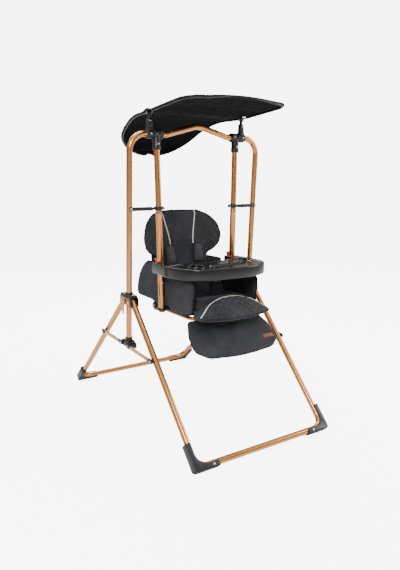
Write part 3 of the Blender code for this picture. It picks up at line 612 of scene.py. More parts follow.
def side_matrix(x, base=Matrix()):
    """A plane across X: its own X runs along Y of the base, its own Y along Z of the base."""
    turn = Matrix(((0, 0, 1, 0), (1, 0, 0, 0), (0, 1, 0, 0), (0, 0, 0, 1)))
    return base @ Matrix.Translation((x, 0, 0)) @ turn


def stadium(start, end, half, steps=12):
    """The outline of a bar with round ends, between two points of a plane."""
    heading = atan2(end[1] - start[1], end[0] - start[0])
    points = []
    for centre, first in ((end, heading - pi / 2), (start, heading + pi / 2)):
        for n in range(steps + 1):
            angle = first + pi * n / steps
            points.append((centre[0] + half * cos(angle), centre[1] + half * sin(angle)))
    return points


# %% [markdown]
# Pockets, bores and mouths are cut with booleans, and the cutters are thrown away.

# %% Cutting
def subtract(piece, *cutters):
    """Cut shapes out of a piece for good. The cutters are removed."""
    for cutter in cutters:
        mod = piece.modifiers.new("cut", "BOOLEAN")
        mod.operation = "DIFFERENCE"
        mod.solver = "EXACT"
        mod.object = cutter
    baked = evaluated(piece)
    piece.modifiers.clear()
    old = piece.data
    piece.data = baked
    bpy.data.meshes.remove(old)
    for cutter in cutters:
        bpy.data.objects.remove(cutter, do_unlink=True)
    baked.shade_smooth()
    baked.set_sharp_from_angle(angle=radians(35))


def tool(work):
    """A shape used only for cutting."""
    return into_scene("tool", mesh_from("tool", work))


def drum(start, end, radius, sides=32):
    """A plain round cutter between two points."""
    length = (Vector(end) - Vector(start)).length
    return turned_into(bmesh.new(), [(0, radius), (length, radius)], start, end, sides)


# %% [markdown]
# ## The bronze tubes
# A real frame tube is drawn steel bent on a machine: every bend is a true arc of one radius and
# the section stays round. Sweeping a circle along straight runs and arcs gives the same thing.
# Each leg is one U, and the upper frame is one arch with a low hump in its crossbar.

# %% Upper frame tube
HUB_DROP, BOTTOM_DROP = 0.6712, 0.8636
frame_ends = BOTTOM_DROP + 0.008
frame_path = rounded([((-FRAME_X, 0, -frame_ends), 0), ((-FRAME_X, 0, 0), 0.07),
                      ((-0.152, 0, 0), 0.06), ((0, 0, 0.041), 0.10), ((0.152, 0, 0), 0.06),
                      ((FRAME_X, 0, 0), 0.07), ((FRAME_X, 0, -frame_ends), 0)], step=radians(3))
add("frame_tube", swept(frame_path, TUBE_R, 40, up=(0, 1, 0), matrix=UPRIGHT), BRONZE, "upper_frame",
    ["top_frame"])

# %% Leg tubes
for label, end in ENDS:
    matrix, length = leg_matrix(end)
    path = rounded([((-FRAME_X, 0, 0.010), 0), ((-FRAME_X, 0, -length), LEG_BEND),
                    ((FRAME_X, 0, -length), LEG_BEND), ((FRAME_X, 0, 0.010), 0)], step=radians(4))
    add(f"{label}_leg_tube", swept(path, TUBE_R, 40, matrix=matrix), BRONZE, f"{label}_legs",
        [f"{label}_leg_frame"])
    print(label, "leg length", round(length, 4))

# %% [markdown]
# The hangers are telescopic. The upper tube slides into a slightly wider lower one, whose mouth
# is rolled to a smooth lip, and a silver spring button holds the length. The open foot of the
# lower tube has a dark plug a few millimetres inside.

# %% Hangers
for label, sign in SIDES:
    top, seam = hanger_point(sign, CROSS_Z - 0.0185), hanger_point(sign, HANGER_SEAM_Z - 0.004)
    add(f"hanger_tube_{label}", swept([top, seam], TUBE_R, 40), BRONZE, "swing",
        [f"hanger_upper_{label}"])
    length = HANGER_SEAM_Z - HANGER_LOW_Z
    work = bmesh.new()
    profile = [(0.006, 0.0), (0.006, HANGER_R - 0.0016), (0.0006, HANGER_R - 0.0016),
               (0.0, HANGER_R - 0.0010), (0.0006, HANGER_R), (length - 0.010, HANGER_R),
               (length - 0.0085, HANGER_R + 0.0004), (length - 0.0015, HANGER_R + 0.0004),
               (length - 0.0004, HANGER_R), (length, HANGER_R - 0.0010), (length, TUBE_R + 0.0002),
               (length - 0.003, TUBE_R + 0.0001)]
    turned_into(work, profile, hanger_point(sign, HANGER_LOW_Z), hanger_point(sign, HANGER_SEAM_Z), 40)
    add(f"hanger_sleeve_{label}", work, BRONZE, "swing", [f"hanger_lower_{label}"])
    work = bmesh.new()
    for z in (HANGER_SEAM_Z - 0.022, 0.610):
        centre = hanger_point(sign, z)
        turned_into(work, dome(0.0030, 0.0042), centre + Vector((0, -HANGER_R + 0.001, 0)),
                    centre + Vector((0, -HANGER_R - 0.01, 0)), 20)
    add(f"hanger_buttons_{label}", work, STEEL, "swing")

# %% [markdown]
# The seat rests on a thin bronze tube bent to a U, which runs under the pan and shows as two
# bright corners under the front pad. The footrest turns on its front run.

# %% Seat tube
rail = 0.1365
path = rounded([((-rail, 0.070, BAR_Z), 0), ((-rail, BAR_Y, BAR_Z), 0.028),
                ((rail, BAR_Y, BAR_Z), 0.028), ((rail, 0.070, BAR_Z), 0)])
add("seat_rail", swept(path, 0.008, 28, up=(0, 0, 1), matrix=FROM_CROSSBAR), BRONZE, "swing",
    ["seat_tube"])

# %% [markdown]
# ## Moulded fittings
# The black fittings are injection mouldings, so their walls carry a little draft, the rims are
# eased and the ribs and rivets sit in shallow seats. Rivets are turned profiles with a domed head
# and a dimple, and they are pieces of their own because they are bright metal.

# %% Rivets that many fittings share
RIVETS = {}


def rivet(body, spot, outward, radius=0.0045, height=0.0022):
    """Keep a rivet for later. All of a body's rivets are made as one piece."""
    RIVETS.setdefault(body, []).append((Vector(spot), Vector(outward).normalized(), radius, height))


# %% Upright feet: the brackets that carry the braces
for label, sign in SIDES:
    x = sign * FRAME_X
    work = bmesh.new()
    outline = rounded([((-0.044, -0.0145, 0), 0.0085), ((0.044, -0.0145, 0), 0.0085),
                       ((0.042, 0.0100, 0), 0.008), ((0.018, 0.0175, 0), 0.008),
                       ((-0.018, 0.0175, 0), 0.008), ((-0.042, 0.0100, 0), 0.008)], True, radians(12))
    level = UPRIGHT @ Matrix.Translation((0, 0, -BOTTOM_DROP))
    slab_into(work, outline, -0.0165, 0.0165, side_matrix(x, level), 0.003, 3)
    turned_into(work, collar(-0.012, 0.030, 0.0158, 0.002), level @ Vector((x, 0, 0)),
                level @ Vector((x, 0, 0.1)), 32)
    panel = [(p.x * 0.80, p.y * 0.62) for p in outline]
    low, high = sorted((sign * 0.0160, sign * 0.0177))
    slab_into(work, panel, low, high, side_matrix(x, level), 0.0006)
    add(f"brace_bracket_{label}", work, BLACK, "upper_frame",
        [f"foot_bracket_{label}"])
    for y in (-0.020, 0.020):
        rivet("upper_frame", level @ Vector((x - sign * 0.0160, y, 0)), (-sign, 0, 0))

# %% Canopy posts
for label, sign in SIDES:
    inner, outer, blade = 0.2145, 0.2415, 0.2280
    middle = (inner + outer) / 2
    work = bmesh.new()
    length = outer - inner
    turned_into(work, collar(0, length, 0.0186, 0.0022), place(sign * inner, 0, CROSS_Z),
                place(sign * outer, 0, CROSS_Z), 40)
    base = FROM_CROSSBAR @ Matrix.Translation((sign * middle, 0, 0))
    block_into(work, (-0.0130, -0.0125, CROSS_Z + 0.010), (0.0130, 0.0125, CROSS_Z + 0.024), base,
               0.003, (0.94, 0.88), 0.004)
    block_into(work, (-0.0122, -0.0100, CROSS_Z + 0.019), (0.0122, 0.0100, CANOPY_Z - 0.0205), base,
               0.0025, (0.86, 0.94), 0.0045)
    block_into(work, (-0.0125, -0.0195, CROSS_Z - 0.006), (0.0125, -0.0125, CROSS_Z + 0.006), base,
               0.0015, (1, 1), 0.002)
    blade_base = FROM_CROSSBAR @ Matrix.Translation((sign * blade, 0, 0))
    outline = rounded([((-0.0080, CANOPY_Z - 0.030, 0), 0.001), ((0.0080, CANOPY_Z - 0.030, 0), 0.001),
                       ((0.0080, CANOPY_Z + 0.0078, 0), 0.0078), ((-0.0080, CANOPY_Z + 0.0078, 0), 0.0078)],
                      True, radians(10))
    slab_into(work, outline, -0.0025, 0.0025, side_matrix(0, blade_base), 0.0008)
    add(f"canopy_stand_{label}", work, BLACK, "upper_frame", [f"canopy_post_{label}"])
    work = bmesh.new()
    turned_into(work, collar(0, 0.024, 0.0026, 0.0006), place(sign * 0.2160, 0, CANOPY_Z),
                place(sign * 0.2400, 0, CANOPY_Z), 20)
    for foot, ahead in ((0.2396, 0.2500), (0.2164, 0.2000)):
        turned_into(work, dome(0.0016, 0.0044), place(sign * foot, 0, CANOPY_Z),
                    place(sign * ahead, 0, CANOPY_Z), 20)
    add(f"canopy_pin_{label}", work, STEEL, "upper_frame")
    rivet("upper_frame", place(sign * middle, -0.0193, CROSS_Z), (0, -1, 0), 0.0036, 0.0018)
    rivet("upper_frame", place(sign * middle, -0.0098, CANOPY_Z - 0.030), (0, -1, 0), 0.0032, 0.0016)

# %% Sleeves: the bearings by which the hangers turn on the crossbar
for label, sign in SIDES:
    work = bmesh.new()
    start, end = place(sign * 0.171, 0, CROSS_Z), place(sign * 0.2125, 0, CROSS_Z)
    profile = [(0, 0.0145), (0.0, 0.0182), (0.0012, 0.0195), (0.0075, 0.0195), (0.0085, 0.0184),
               (0.0330, 0.0184), (0.0340, 0.0195), (0.0403, 0.0195), (0.0415, 0.0182), (0.0415, 0.0145)]
    turned_into(work, profile, start, end, 44)
    top, low = hanger_point(sign, CROSS_Z - 0.008), hanger_point(sign, CROSS_Z - 0.062)
    reach = (top - low).length
    turned_into(work, [(0, 0.0172), (reach - 0.018, 0.0166), (reach - 0.016, 0.0176),
                       (reach - 0.002, 0.0176), (reach, 0.0164), (reach, 0.0130)], top, low, 44)
    add(f"hanger_bearing_{label}", work, BLACK, "swing",
        [f"crossbar_sleeve_{label}"])
    for way in (-1, 1):
        spot = hanger_point(sign, CROSS_Z - 0.038) + Vector((0, way * 0.0163, 0))
        rivet("swing", spot, (0, way, 0), 0.0042)

# %% Lock arms and their catches
for label, sign in SIDES:
    level = UPRIGHT @ Matrix.Translation((0, -0.0160, -0.2946)) @ Matrix.Rotation(pi / 2, 4, "X")
    outer, inner = sign * FRAME_X, sign * 0.2222
    work = bmesh.new()
    slab_into(work, stadium((outer, 0), (inner, 0), 0.0080), -0.0025, 0.0025, level, 0.0012)
    for face in (-1, 1):
        low, high = sorted((face * 0.0025, face * 0.0034))
        slab_into(work, stadium((outer - sign * 0.014, 0), (inner + sign * 0.008, 0), 0.0048),
                  low, high, level, 0.0004)
    add(f"lock_bar_{label}", work, BLACK, f"lock_arm_{label}_body",
        [f"lock_arm_{label}"])
    rivet(f"lock_arm_{label}_body", level @ Vector((outer, 0, 0.0023)), (0, -1, 0), 0.0050, 0.0026)

    work = bmesh.new()
    low, high = hanger_point(sign, 0.912), hanger_point(sign, 0.928)
    turned_into(work, collar(0, 0.016, 0.0165, 0.0016), low, high, 40)
    ends = sorted((sign * 0.163, sign * 0.2130))
    block_into(work, (ends[0], -0.006, 0.9135), (ends[1], 0.006, 0.9265), FROM_CROSSBAR, 0.0015,
               (0.98, 0.9), 0.003)
    add(f"swing_catch_{label}", work, BLACK, "swing", [f"lock_catch_{label}"])
    rivet("swing", place(sign * 0.170, -0.0058, 0.920), (0, -1, 0), 0.0030, 0.0014)

# %% [markdown]
# ## Sliding hubs
# The hub is the joint of the whole fold: it slides on the upright and carries both legs on
# rivets. Its housing is a cap, open below, so the legs can swing inside. On its outside is a
# bronze shield with a squeeze lever that frees the hub from the upright.

# %% Hubs, shields and levers
HUB_FRAME = UPRIGHT @ Matrix.Translation((0, 0, -HUB_DROP))
for label, sign in SIDES:
    x = sign * FRAME_X
    outline = rounded([((-0.056, -0.020, 0), 0.004), ((0.056, -0.020, 0), 0.004),
                       ((0.054, 0.012, 0), 0.010), ((0.040, 0.026, 0), 0.012),
                       ((-0.040, 0.026, 0), 0.012), ((-0.054, 0.012, 0), 0.010)], True, radians(9))
    work = slab_into(bmesh.new(), outline, -0.018, 0.018,
                     side_matrix(x, HUB_FRAME), 0.003, 3)
    housing = add(f"hub_housing_{label}", work, BLACK, "leg_hubs",
                  [f"leg_hub_{label}"])
    channel = block_into(bmesh.new(), (x - 0.0138, -0.08, -0.05), (x + 0.0138, 0.08, 0.0188),
                         HUB_FRAME, 0.002)
    bore = drum(HUB_FRAME @ Vector((x, 0, -0.06)), HUB_FRAME @ Vector((x, 0, 0.06)), TUBE_R + 0.0004, 40)
    subtract(housing, tool(channel), tool(bore))
    work = turned_into(bmesh.new(), [(0, 0.0129), (0, 0.0165), (0.0050, 0.0162), (0.0062, 0.0150),
                                     (0.0062, 0.0129)], HUB_FRAME @ Vector((x, 0, 0.0255)),
                       HUB_FRAME @ Vector((x, 0, 0.1)), 40)
    add(f"hub_collar_{label}", work, BLACK, "leg_hubs")

    shield = rounded([((-0.046, -0.014, 0), 0.006), ((0.046, -0.014, 0), 0.006),
                      ((0.042, 0.014, 0), 0.008), ((-0.042, 0.014, 0), 0.008)], True, radians(10))
    outer = sign * (FRAME_X + 0.0198)
    work = slab_into(bmesh.new(), shield, -0.0015, 0.0015,
                     side_matrix(outer, HUB_FRAME), 0.0007)
    add(f"hub_shield_{label}", work, BRONZE, "leg_hubs", [f"hub_plate_{label}"])
    for end_label, end in ENDS:
        inboard = HUB_FRAME @ Vector((sign * (FRAME_X - 0.0203), end * 0.033, 0))
        outboard = HUB_FRAME @ Vector((sign * (FRAME_X + 0.0236), end * 0.033, 0))
        total = (outboard - inboard).length
        work = bmesh.new()
        turned_into(work, [(0.001, 0.003), (total - 0.002, 0.003)], inboard, outboard, 20)
        for tip, far in ((outboard, inboard), (inboard, outboard)):
            turned_into(work, dome(0.0022, 0.0062), tip.lerp(far, 0.0022 / total), tip * 2 - far, 28)
        add(f"leg_rivet_{end_label}_{label}", work, STEEL, "leg_hubs",
            [f"leg_pin_{end_label}_{label}"])

    lever_x = sign * (FRAME_X + 0.0270)
    lever = rounded([((-0.011, 0.006, 0), 0.005), ((-0.0060, -0.058, 0), 0.004),
                     ((0.0060, -0.058, 0), 0.004), ((0.011, 0.006, 0), 0.005)], True, radians(10))
    work = slab_into(bmesh.new(), lever, -0.0020, 0.0020,
                     side_matrix(lever_x, HUB_FRAME), 0.0009)
    low, high = sorted((sign * 0.0018, sign * 0.0024))
    for n in range(4):
        grip = HUB_FRAME @ Matrix.Translation((0, 0, -0.050 + 0.005 * n))
        slab_into(work, stadium((-0.0040, 0), (0.0040, 0), 0.0009, 6), low, high,
                  side_matrix(lever_x, grip), 0.0003)
    add(f"hub_lever_{label}", work, BRONZE, f"hub_latch_{label}_body",
        [f"hub_latch_{label}"])
    rivet(f"hub_latch_{label}_body", HUB_FRAME @ Vector((lever_x + sign * 0.0014, 0, -0.004)),
          (sign, 0, 0), 0.0042, 0.0016)

# %% [markdown]
# ## Braces
# A brace is a flat bar punched from strip, with round ends. At each end a black plastic washer
# block spreads the rivet's load on the tube and keeps the paint from rubbing.

# %% Braces and their end blocks
for end_label, end in ENDS:
    matrix, _ = leg_matrix(end)
    joint_name = f"{end_label}_brace_fold"
    pivot = Vector((0, *JOINTS[joint_name]["pos_m"][1:]))
    far = matrix @ Vector((0, 0, -0.275))
    for label, sign in SIDES:
        middle = sign * (FRAME_X + 0.0205)
        work = slab_into(bmesh.new(), stadium(pivot.yz, far.yz, 0.0080), -0.0030, 0.0030,
                         side_matrix(middle), 0.0012, 2)
        body = f"{end_label}_braces"
        add(f"{end_label}_strut_{label}", work, BRONZE, body,
            [f"{end_label}_brace_{label}"])
        heading = (far - pivot).normalized()
        work = bmesh.new()
        for spot, way, depth in ((pivot, heading, 0.0085), (far, -heading, 0.0135)):
            near = Vector((0, spot.y, spot.z)) - way * 0.0030
            away = Vector((0, spot.y, spot.z)) + way * 0.0150
            low, high = sorted((-sign * 0.0032, sign * 0.0043))
            slab_into(work, stadium(near.yz, away.yz, 0.0094), low, high, side_matrix(middle), 0.0012)
            start = Vector((middle, spot.y, spot.z))
            turned_into(work, [(0, 0.0052), (0.0205 - depth, 0.0052)], start,
                        Vector((sign * (FRAME_X + depth), spot.y, spot.z)), 24)
            rivet(body, Vector((middle + sign * 0.0041, spot.y, spot.z)), (sign, 0, 0), 0.0046, 0.0020)
        add(f"{end_label}_strut_blocks_{label}", work, BLACK, body)

# %% [markdown]
# ## Shoes
# Each foot corner has an L-shaped shoe that wraps the bend of the tube from outside. Its wall
# follows the tube on the outer side and leaves the bend bare inside. The sole is cut flat by the
# floor, and has a thin tread.

# %% Shoes on the four corners
for end_label, end in ENDS:
    matrix, length = leg_matrix(end)
    for label, sign in SIDES:
        arm, outer, inner = 0.092, 0.0175, 0.004
        corner = Vector((sign * FRAME_X, -length, 0))
        out = Vector((sign, 0, 0))
        up_way = Vector((0, 1, 0))
        outline = rounded([(corner + out * outer + up_way * arm, 0.004),
                           (corner + out * outer - up_way * outer, 0.015),
                           (corner - out * arm - up_way * outer, 0.004),
                           (corner - out * arm + up_way * inner, 0.004),
                           (corner - out * inner + up_way * inner, LEG_BEND - inner),
                           (corner - out * inner + up_way * arm, 0.004)], True, radians(9))
        flat = matrix @ Matrix.Rotation(pi / 2, 4, "X")
        work = slab_into(bmesh.new(), outline, -0.017, 0.017, flat, 0.0030, 3)
        shoe = add(f"{end_label}_foot_{label}", work, BLACK, f"{end_label}_legs",
                   [f"{end_label}_shoe_{label}"])
        bend = rounded([((sign * FRAME_X, 0, -length + 0.2), 0), ((sign * FRAME_X, 0, -length), LEG_BEND),
                        ((sign * (FRAME_X - 0.2), 0, -length), 0)])
        under = block_into(bmesh.new(), (-0.5, -0.8, -0.1), (0.5, 0.8, 0.0), Matrix(), 0.001)
        subtract(shoe, tool(swept(bend, TUBE_R + 0.0003, 36, matrix=matrix)), tool(under))
        work = bmesh.new()
        across = (outer - inner) / 2
        for setback in (0.004, 0.012):
            mouths = ((corner + up_way * (arm - setback) + out * across, out),
                      (corner - out * (arm - setback) - up_way * across, up_way))
            for centre, wide in mouths:
                loop = rounded([(centre + wide * a + Vector((0, 0, b)), 0.004) for a, b in
                                ((0.0107, 0.017), (-0.0107, 0.017), (-0.0107, -0.017), (0.0107, -0.017))],
                               True, radians(18))
                floor_safe = [flat @ p for p in loop]
                for p in floor_safe:
                    p.z = max(p.z, 0.0014)
                sweep_into(work, floor_safe, 0.0012, 10, closed=True)
        add(f"{end_label}_foot_ribs_{label}", work, BLACK, f"{end_label}_legs")
        spot = corner - out * 0.066 - up_way * 0.006
        for face in (-1, 1):
            rivet(f"{end_label}_legs", flat @ Vector((spot.x, spot.y, face * 0.0168)),
                  flat.to_3x3() @ Vector((0, 0, face)), 0.0042, 0.0018)

# %% [markdown]
# ## Rivets
# Every rivet of a body is the same turned head at another place, so one Geometry Nodes tree sets
# a head on each point of a small point mesh, turned to the way it faces.

# %% The rivet tree
head_mesh = mesh_from("rivet_head", turned_into(bmesh.new(), dome(1.0, 1.0), (0, 0, 0), (0, 0, 1), 24))
head_mesh.shade_smooth()
head = bpy.data.objects.new("rivet_head", head_mesh)

studs, studs_in, studs_out = new_group(
    "set_rivets", [("Points", "Geometry", None), ("Head", "Object", None), ("Finish", "Material", None)],
    [("Result", "Geometry")], "GeometryNodeTree")
named = {}
for label in ("facing", "size"):
    reader = add_node(studs, "GeometryNodeInputNamedAttribute", {"Name": label},
                      data_type="FLOAT_VECTOR")
    named[label] = reader.outputs["Attribute"]
aim = add_node(studs, "FunctionNodeAlignRotationToVector", {"Vector": named["facing"]}, axis="Z")
head_info = add_node(studs, "GeometryNodeObjectInfo", {"Object": studs_in.outputs["Head"]})
scatter = add_node(studs, "GeometryNodeInstanceOnPoints",
                   {"Points": studs_in.outputs["Points"], "Instance": head_info.outputs["Geometry"],
                    "Rotation": aim.outputs["Rotation"], "Scale": named["size"]})


def dressed(tree, instances, group_in, group_out):
    """End a tree: the instances become one mesh in the chosen finish."""
    solid = add_node(tree, "GeometryNodeRealizeInstances", {0: instances})
    dress = add_node(tree, "GeometryNodeSetMaterial",
                     {"Geometry": solid.outputs[0], "Material": group_in.outputs["Finish"]})
    tree.links.new(dress.outputs[0], group_out.inputs["Result"])


dressed(studs, scatter.outputs["Instances"], studs_in, studs_out)


def socket_id(tree, label):
    """The identifier by which a modifier names one of the tree's inputs."""
    return next(item.identifier for item in tree.interface.items_tree
                if item.item_type == "SOCKET" and item.in_out == "INPUT" and item.name == label)


def grown(points, attributes, tree, settings):
    """Run a tree on a small mesh of points and give back the finished mesh."""
    mesh = bpy.data.meshes.new("points")
    mesh.from_pydata([tuple(p) for p in points], [], [])
    for label, values in attributes.items():
        layer = mesh.attributes.new(label, "FLOAT_VECTOR", "POINT")
        for slot, value in zip(layer.data, values):
            slot.vector = value
    return baked_tree(mesh, tree, settings)


def baked_tree(mesh, tree, settings):
    """The mesh that a tree makes of another mesh."""
    holder = into_scene("holder", mesh)
    mod = holder.modifiers.new("grow", "NODES")
    mod.node_group = tree
    for label, value in settings.items():
        mod[socket_id(tree, label)] = value
    bpy.context.view_layer.update()
    result = evaluated(holder)
    bpy.data.objects.remove(holder, do_unlink=True)
    return result


# %% [markdown]
# The rivets are set at the end of the script, when every fitting has said where its own go.

# %% [markdown]
# ## Tray
# The tray is one polished moulding: a deep rounded apron in front, a low rim all round, a sunken
# top with a cup ring, a long groove and a side dish, and two arms that reach back past the
# hangers. It is made the way a mould maker would: one solid outline, then the pockets cut out.

# %% Tray moulding
TRAY_TOP, TRAY_LOW = 0.695, 0.650


def tray_front(half, depth, back):
    """The round front of the tray, from one side to the other."""
    power = 2 / 2.7
    count = 64
    points = []
    for n in range(count + 1):
        angle = pi * n / count
        across, ahead = cos(angle), sin(angle)
        x = half * abs(across) ** power * (1 if across > 0 else -1)
        points.append((x, back - depth * ahead ** power))
    return points


def tray_outline():
    """The whole outline with both arms."""
    arms = [((0.2105, 0.030, 0), 0.0048), ((0.1620, 0.030, 0), 0.0048),
            ((0.1610, -0.045, 0), 0.035), ((0.070, -0.086, 0), 0.060)]
    mirrored = [((-p[0], p[1], 0), r) for p, r in reversed(arms)]
    inner = rounded([((0.222, -0.09, 0), 0), *arms, *mirrored, ((-0.222, -0.09, 0), 0)], step=radians(8))
    front = tray_front(0.222, 0.185, -0.100)
    return list(reversed(front)) + [(p.x, p.y) for p in inner]


work = slab_into(bmesh.new(), tray_outline(), TRAY_LOW, TRAY_TOP, FROM_CROSSBAR, 0.0044, 5)
tray = add("tray_moulding", work, GLOSS, "tray", ["tray_body"])
hollow = tray_front(0.215, 0.178, -0.096)
cutters = [tool(slab_into(bmesh.new(), hollow, TRAY_LOW - 0.01, TRAY_LOW + 0.0250, FROM_CROSSBAR, 0.003))]
back_edge = rounded([((0.205, -0.100, 0), 0), ((0.120, -0.078, 0), 0.05), ((0.070, -0.096, 0), 0.06),
                     ((-0.070, -0.096, 0), 0.06), ((-0.120, -0.078, 0), 0.05), ((-0.205, -0.100, 0), 0)],
                    step=radians(8))
pan = tray_front(0.211, 0.174, -0.104)[::-1] + [(p.x, p.y) for p in back_edge[1:-1]]
cutters.append(tool(slab_into(bmesh.new(), pan, TRAY_TOP - 0.0030, TRAY_TOP + 0.01, FROM_CROSSBAR,
                              0.0028, 4)))
for sign in (-1, 1):
    low, high = sorted((sign * 0.1700, sign * 0.2002))
    cutters.append(tool(block_into(bmesh.new(), (low, -0.017, 0.6), (high, 0.08, 0.75), FROM_CROSSBAR,
                                   0.0005, (1, 1), 0.012)))
cup = place(-0.120, -0.170, TRAY_TOP)
cup_wall = [(0, 0.0315), (0.0010, 0.0330), (0.0040, 0.0342), (0.03, 0.0342)]
cutters.append(tool(turned_into(bmesh.new(), cup_wall, cup + Vector((0, 0, -0.012)),
                                cup + Vector((0, 0, 0.1)), 56)))
DISHES = (((-0.045, -0.195), (0.095, -0.185), 0.022), ((0.160, -0.150), (0.165, -0.105), 0.026))
for start, end, half in DISHES:
    cutters.append(tool(slab_into(bmesh.new(), stadium(start, end, half, 20), TRAY_TOP - 0.0075,
                                  TRAY_TOP + 0.02, FROM_CROSSBAR, 0.0045, 5)))
subtract(tray, *cutters)

# %% [markdown]
# A fine raised ring runs round the cup's recess and round both dishes.

# %% Rings on the tray
work = bmesh.new()
turns = [2 * pi * n / 64 for n in range(64)]
ring = [cup + Vector((cos(turn) * 0.0362, sin(turn) * 0.0362, -0.0022)) for turn in turns]
sweep_into(work, ring, 0.0024, 14, closed=True)
for start, end, half in DISHES:
    loop = [place(x, y, TRAY_TOP - 0.0026) for x, y in stadium(start, end, half + 0.0018, 20)]
    sweep_into(work, evened(loop, 0.003, True), 0.0016, 12, closed=True)
add("tray_rings", work, GLOSS, "tray")

# %% [markdown]
# A red lever behind each hanger locks the tray. It is a bent spring tab with ribs for the thumb
# and a lip at the top, in the one bright colour of the whole swing.

# %% Tray latches
for label, sign in SIDES:
    x = hanger_point(sign, 0.683).x
    base = FROM_CROSSBAR @ Matrix.Translation((x, 0, 0))
    work = block_into(bmesh.new(), (-0.0105, 0.0145, 0.6570), (0.0105, 0.0290, 0.7090), base, 0.0018,
                      (0.96, 0.9), 0.0030)
    block_into(work, (-0.0122, 0.0152, 0.7040), (0.0122, 0.0340, 0.7108), base, 0.0018, (0.97, 0.95), 0.0035)
    for n in range(5):
        z = 0.6690 + n * 0.0062
        block_into(work, (-0.0080, 0.0283, z), (0.0080, 0.0299, z + 0.0026), base, 0.0006, (1, 1), 0.0006)
    add(f"tray_lever_{label}", work, RED, f"tray_latch_{label}_body",
        [f"tray_latch_{label}"])

# %% [markdown]
# ## Seat brackets
# Behind each hanger's foot a black plate carries the pin on which the back reclines. A collar
# grips the hanger, a ribbed knob covers the pin, and two bright bolts hold the seat's board.

# %% Brackets beside the seat
for label, sign in SIDES:
    outline = rounded([((-0.010, 0.4865, 0), 0.004), ((0.045, 0.4865, 0), 0.010),
                       ((0.062, 0.4640, 0), 0.010), ((0.130, 0.4620, 0), 0.012),
                       ((0.142, 0.4800, 0), 0.012), ((0.112, 0.538, 0), 0.010),
                       ((0.070, 0.541, 0), 0.012), ((-0.010, 0.512, 0), 0.006)], True, radians(9))
    work = slab_into(bmesh.new(), outline, -0.0025, 0.0025,
                     side_matrix(sign * 0.1475, FROM_CROSSBAR), 0.0010)
    lug = sorted((sign * 0.146, sign * 0.168))
    block_into(work, (lug[0], -0.008, 0.4868), (lug[1], 0.024, 0.4993), FROM_CROSSBAR, 0.0012, (1, 1), 0.002)
    add(f"recline_bracket_{label}", work, BLACK, "swing", [f"seat_bracket_{label}"])
    centre, above = hanger_point(sign, 0.4872), hanger_point(sign, 0.4998)
    work = turned_into(bmesh.new(), [(0, HANGER_R + 0.0003), (0, 0.0170), (0.0012, 0.0178), (0.0113, 0.0178),
                                     (0.0126, 0.0168), (0.0126, HANGER_R + 0.0003)], centre, above, 40)
    add(f"bracket_ring_{label}", work, BLACK, "swing")
    inner, outer = place(sign * 0.148, RECLINE_Y, RECLINE_Z), place(sign * 0.1362, RECLINE_Y, RECLINE_Z)
    work = turned_into(bmesh.new(), [(0, 0.004), (0.0108, 0.004), (0.0118, 0.0032)], inner, outer, 24)
    add(f"recline_pin_{label}", work, STEEL, "swing")
    work = bmesh.new()
    knob = [(0.0, 0.0115), (0.0006, 0.0126), (0.0050, 0.0124), (0.0064, 0.0112), (0.0068, 0.0070),
            (0.0058, 0.0060), (0.0058, 0.0)]
    for spot_y, spot_z, size in ((0.078, 0.4800, 1.0), (0.120, 0.4840, 1.15)):
        outside = place(sign * 0.1500, spot_y, spot_z)
        turned_into(work, [(a, b * size) for a, b in knob], outside, outside + Vector((sign, 0, 0)), 36)
        for n in range(18):
            angle = 2 * pi * n / 18
            rim = outside + Vector((sign * 0.0028, cos(angle) * 0.0125 * size, sin(angle) * 0.0125 * size))
            turned_into(work, [(0, 0.0009), (0.0035, 0.0009)], rim - Vector((sign * 0.0018, 0, 0)),
                        rim + Vector((sign, 0, 0)), 8)
        rivet("swing", outside + Vector((sign * 0.0056, 0, 0)), (sign, 0, 0), 0.0040, 0.0016)
    add(f"recline_knob_{label}", work, BLACK, "swing")

# %% [markdown]
# ## Soft goods
# Each pad is made in three steps. A closed form with the right outline comes first. Cloth
# simulation with air pressure then fills it, so that its faces crown and its rims pull in. Last,
# the seams and quilting are pressed into the fine mesh, and piping and stitches are laid on it.

# %% Filling a pad
def voxelled(mesh, size):
    """The same closed form as an even mesh of small faces."""
    holder = into_scene("voxelled", mesh)
    mod = holder.modifiers.new("remesh", "REMESH")
    mod.mode = "VOXEL"
    mod.voxel_size = size
    mod.use_smooth_shade = True
    bpy.context.view_layer.update()
    result = evaluated(holder)
    bpy.data.objects.remove(holder, do_unlink=True)
    return result


def softened(work, rounds):
    """Ease a mesh by averaging neighbours."""
    for _ in range(rounds):
        bmesh.ops.smooth_vert(work, verts=work.verts, factor=0.5, use_axis_x=True, use_axis_y=True,
                              use_axis_z=True)


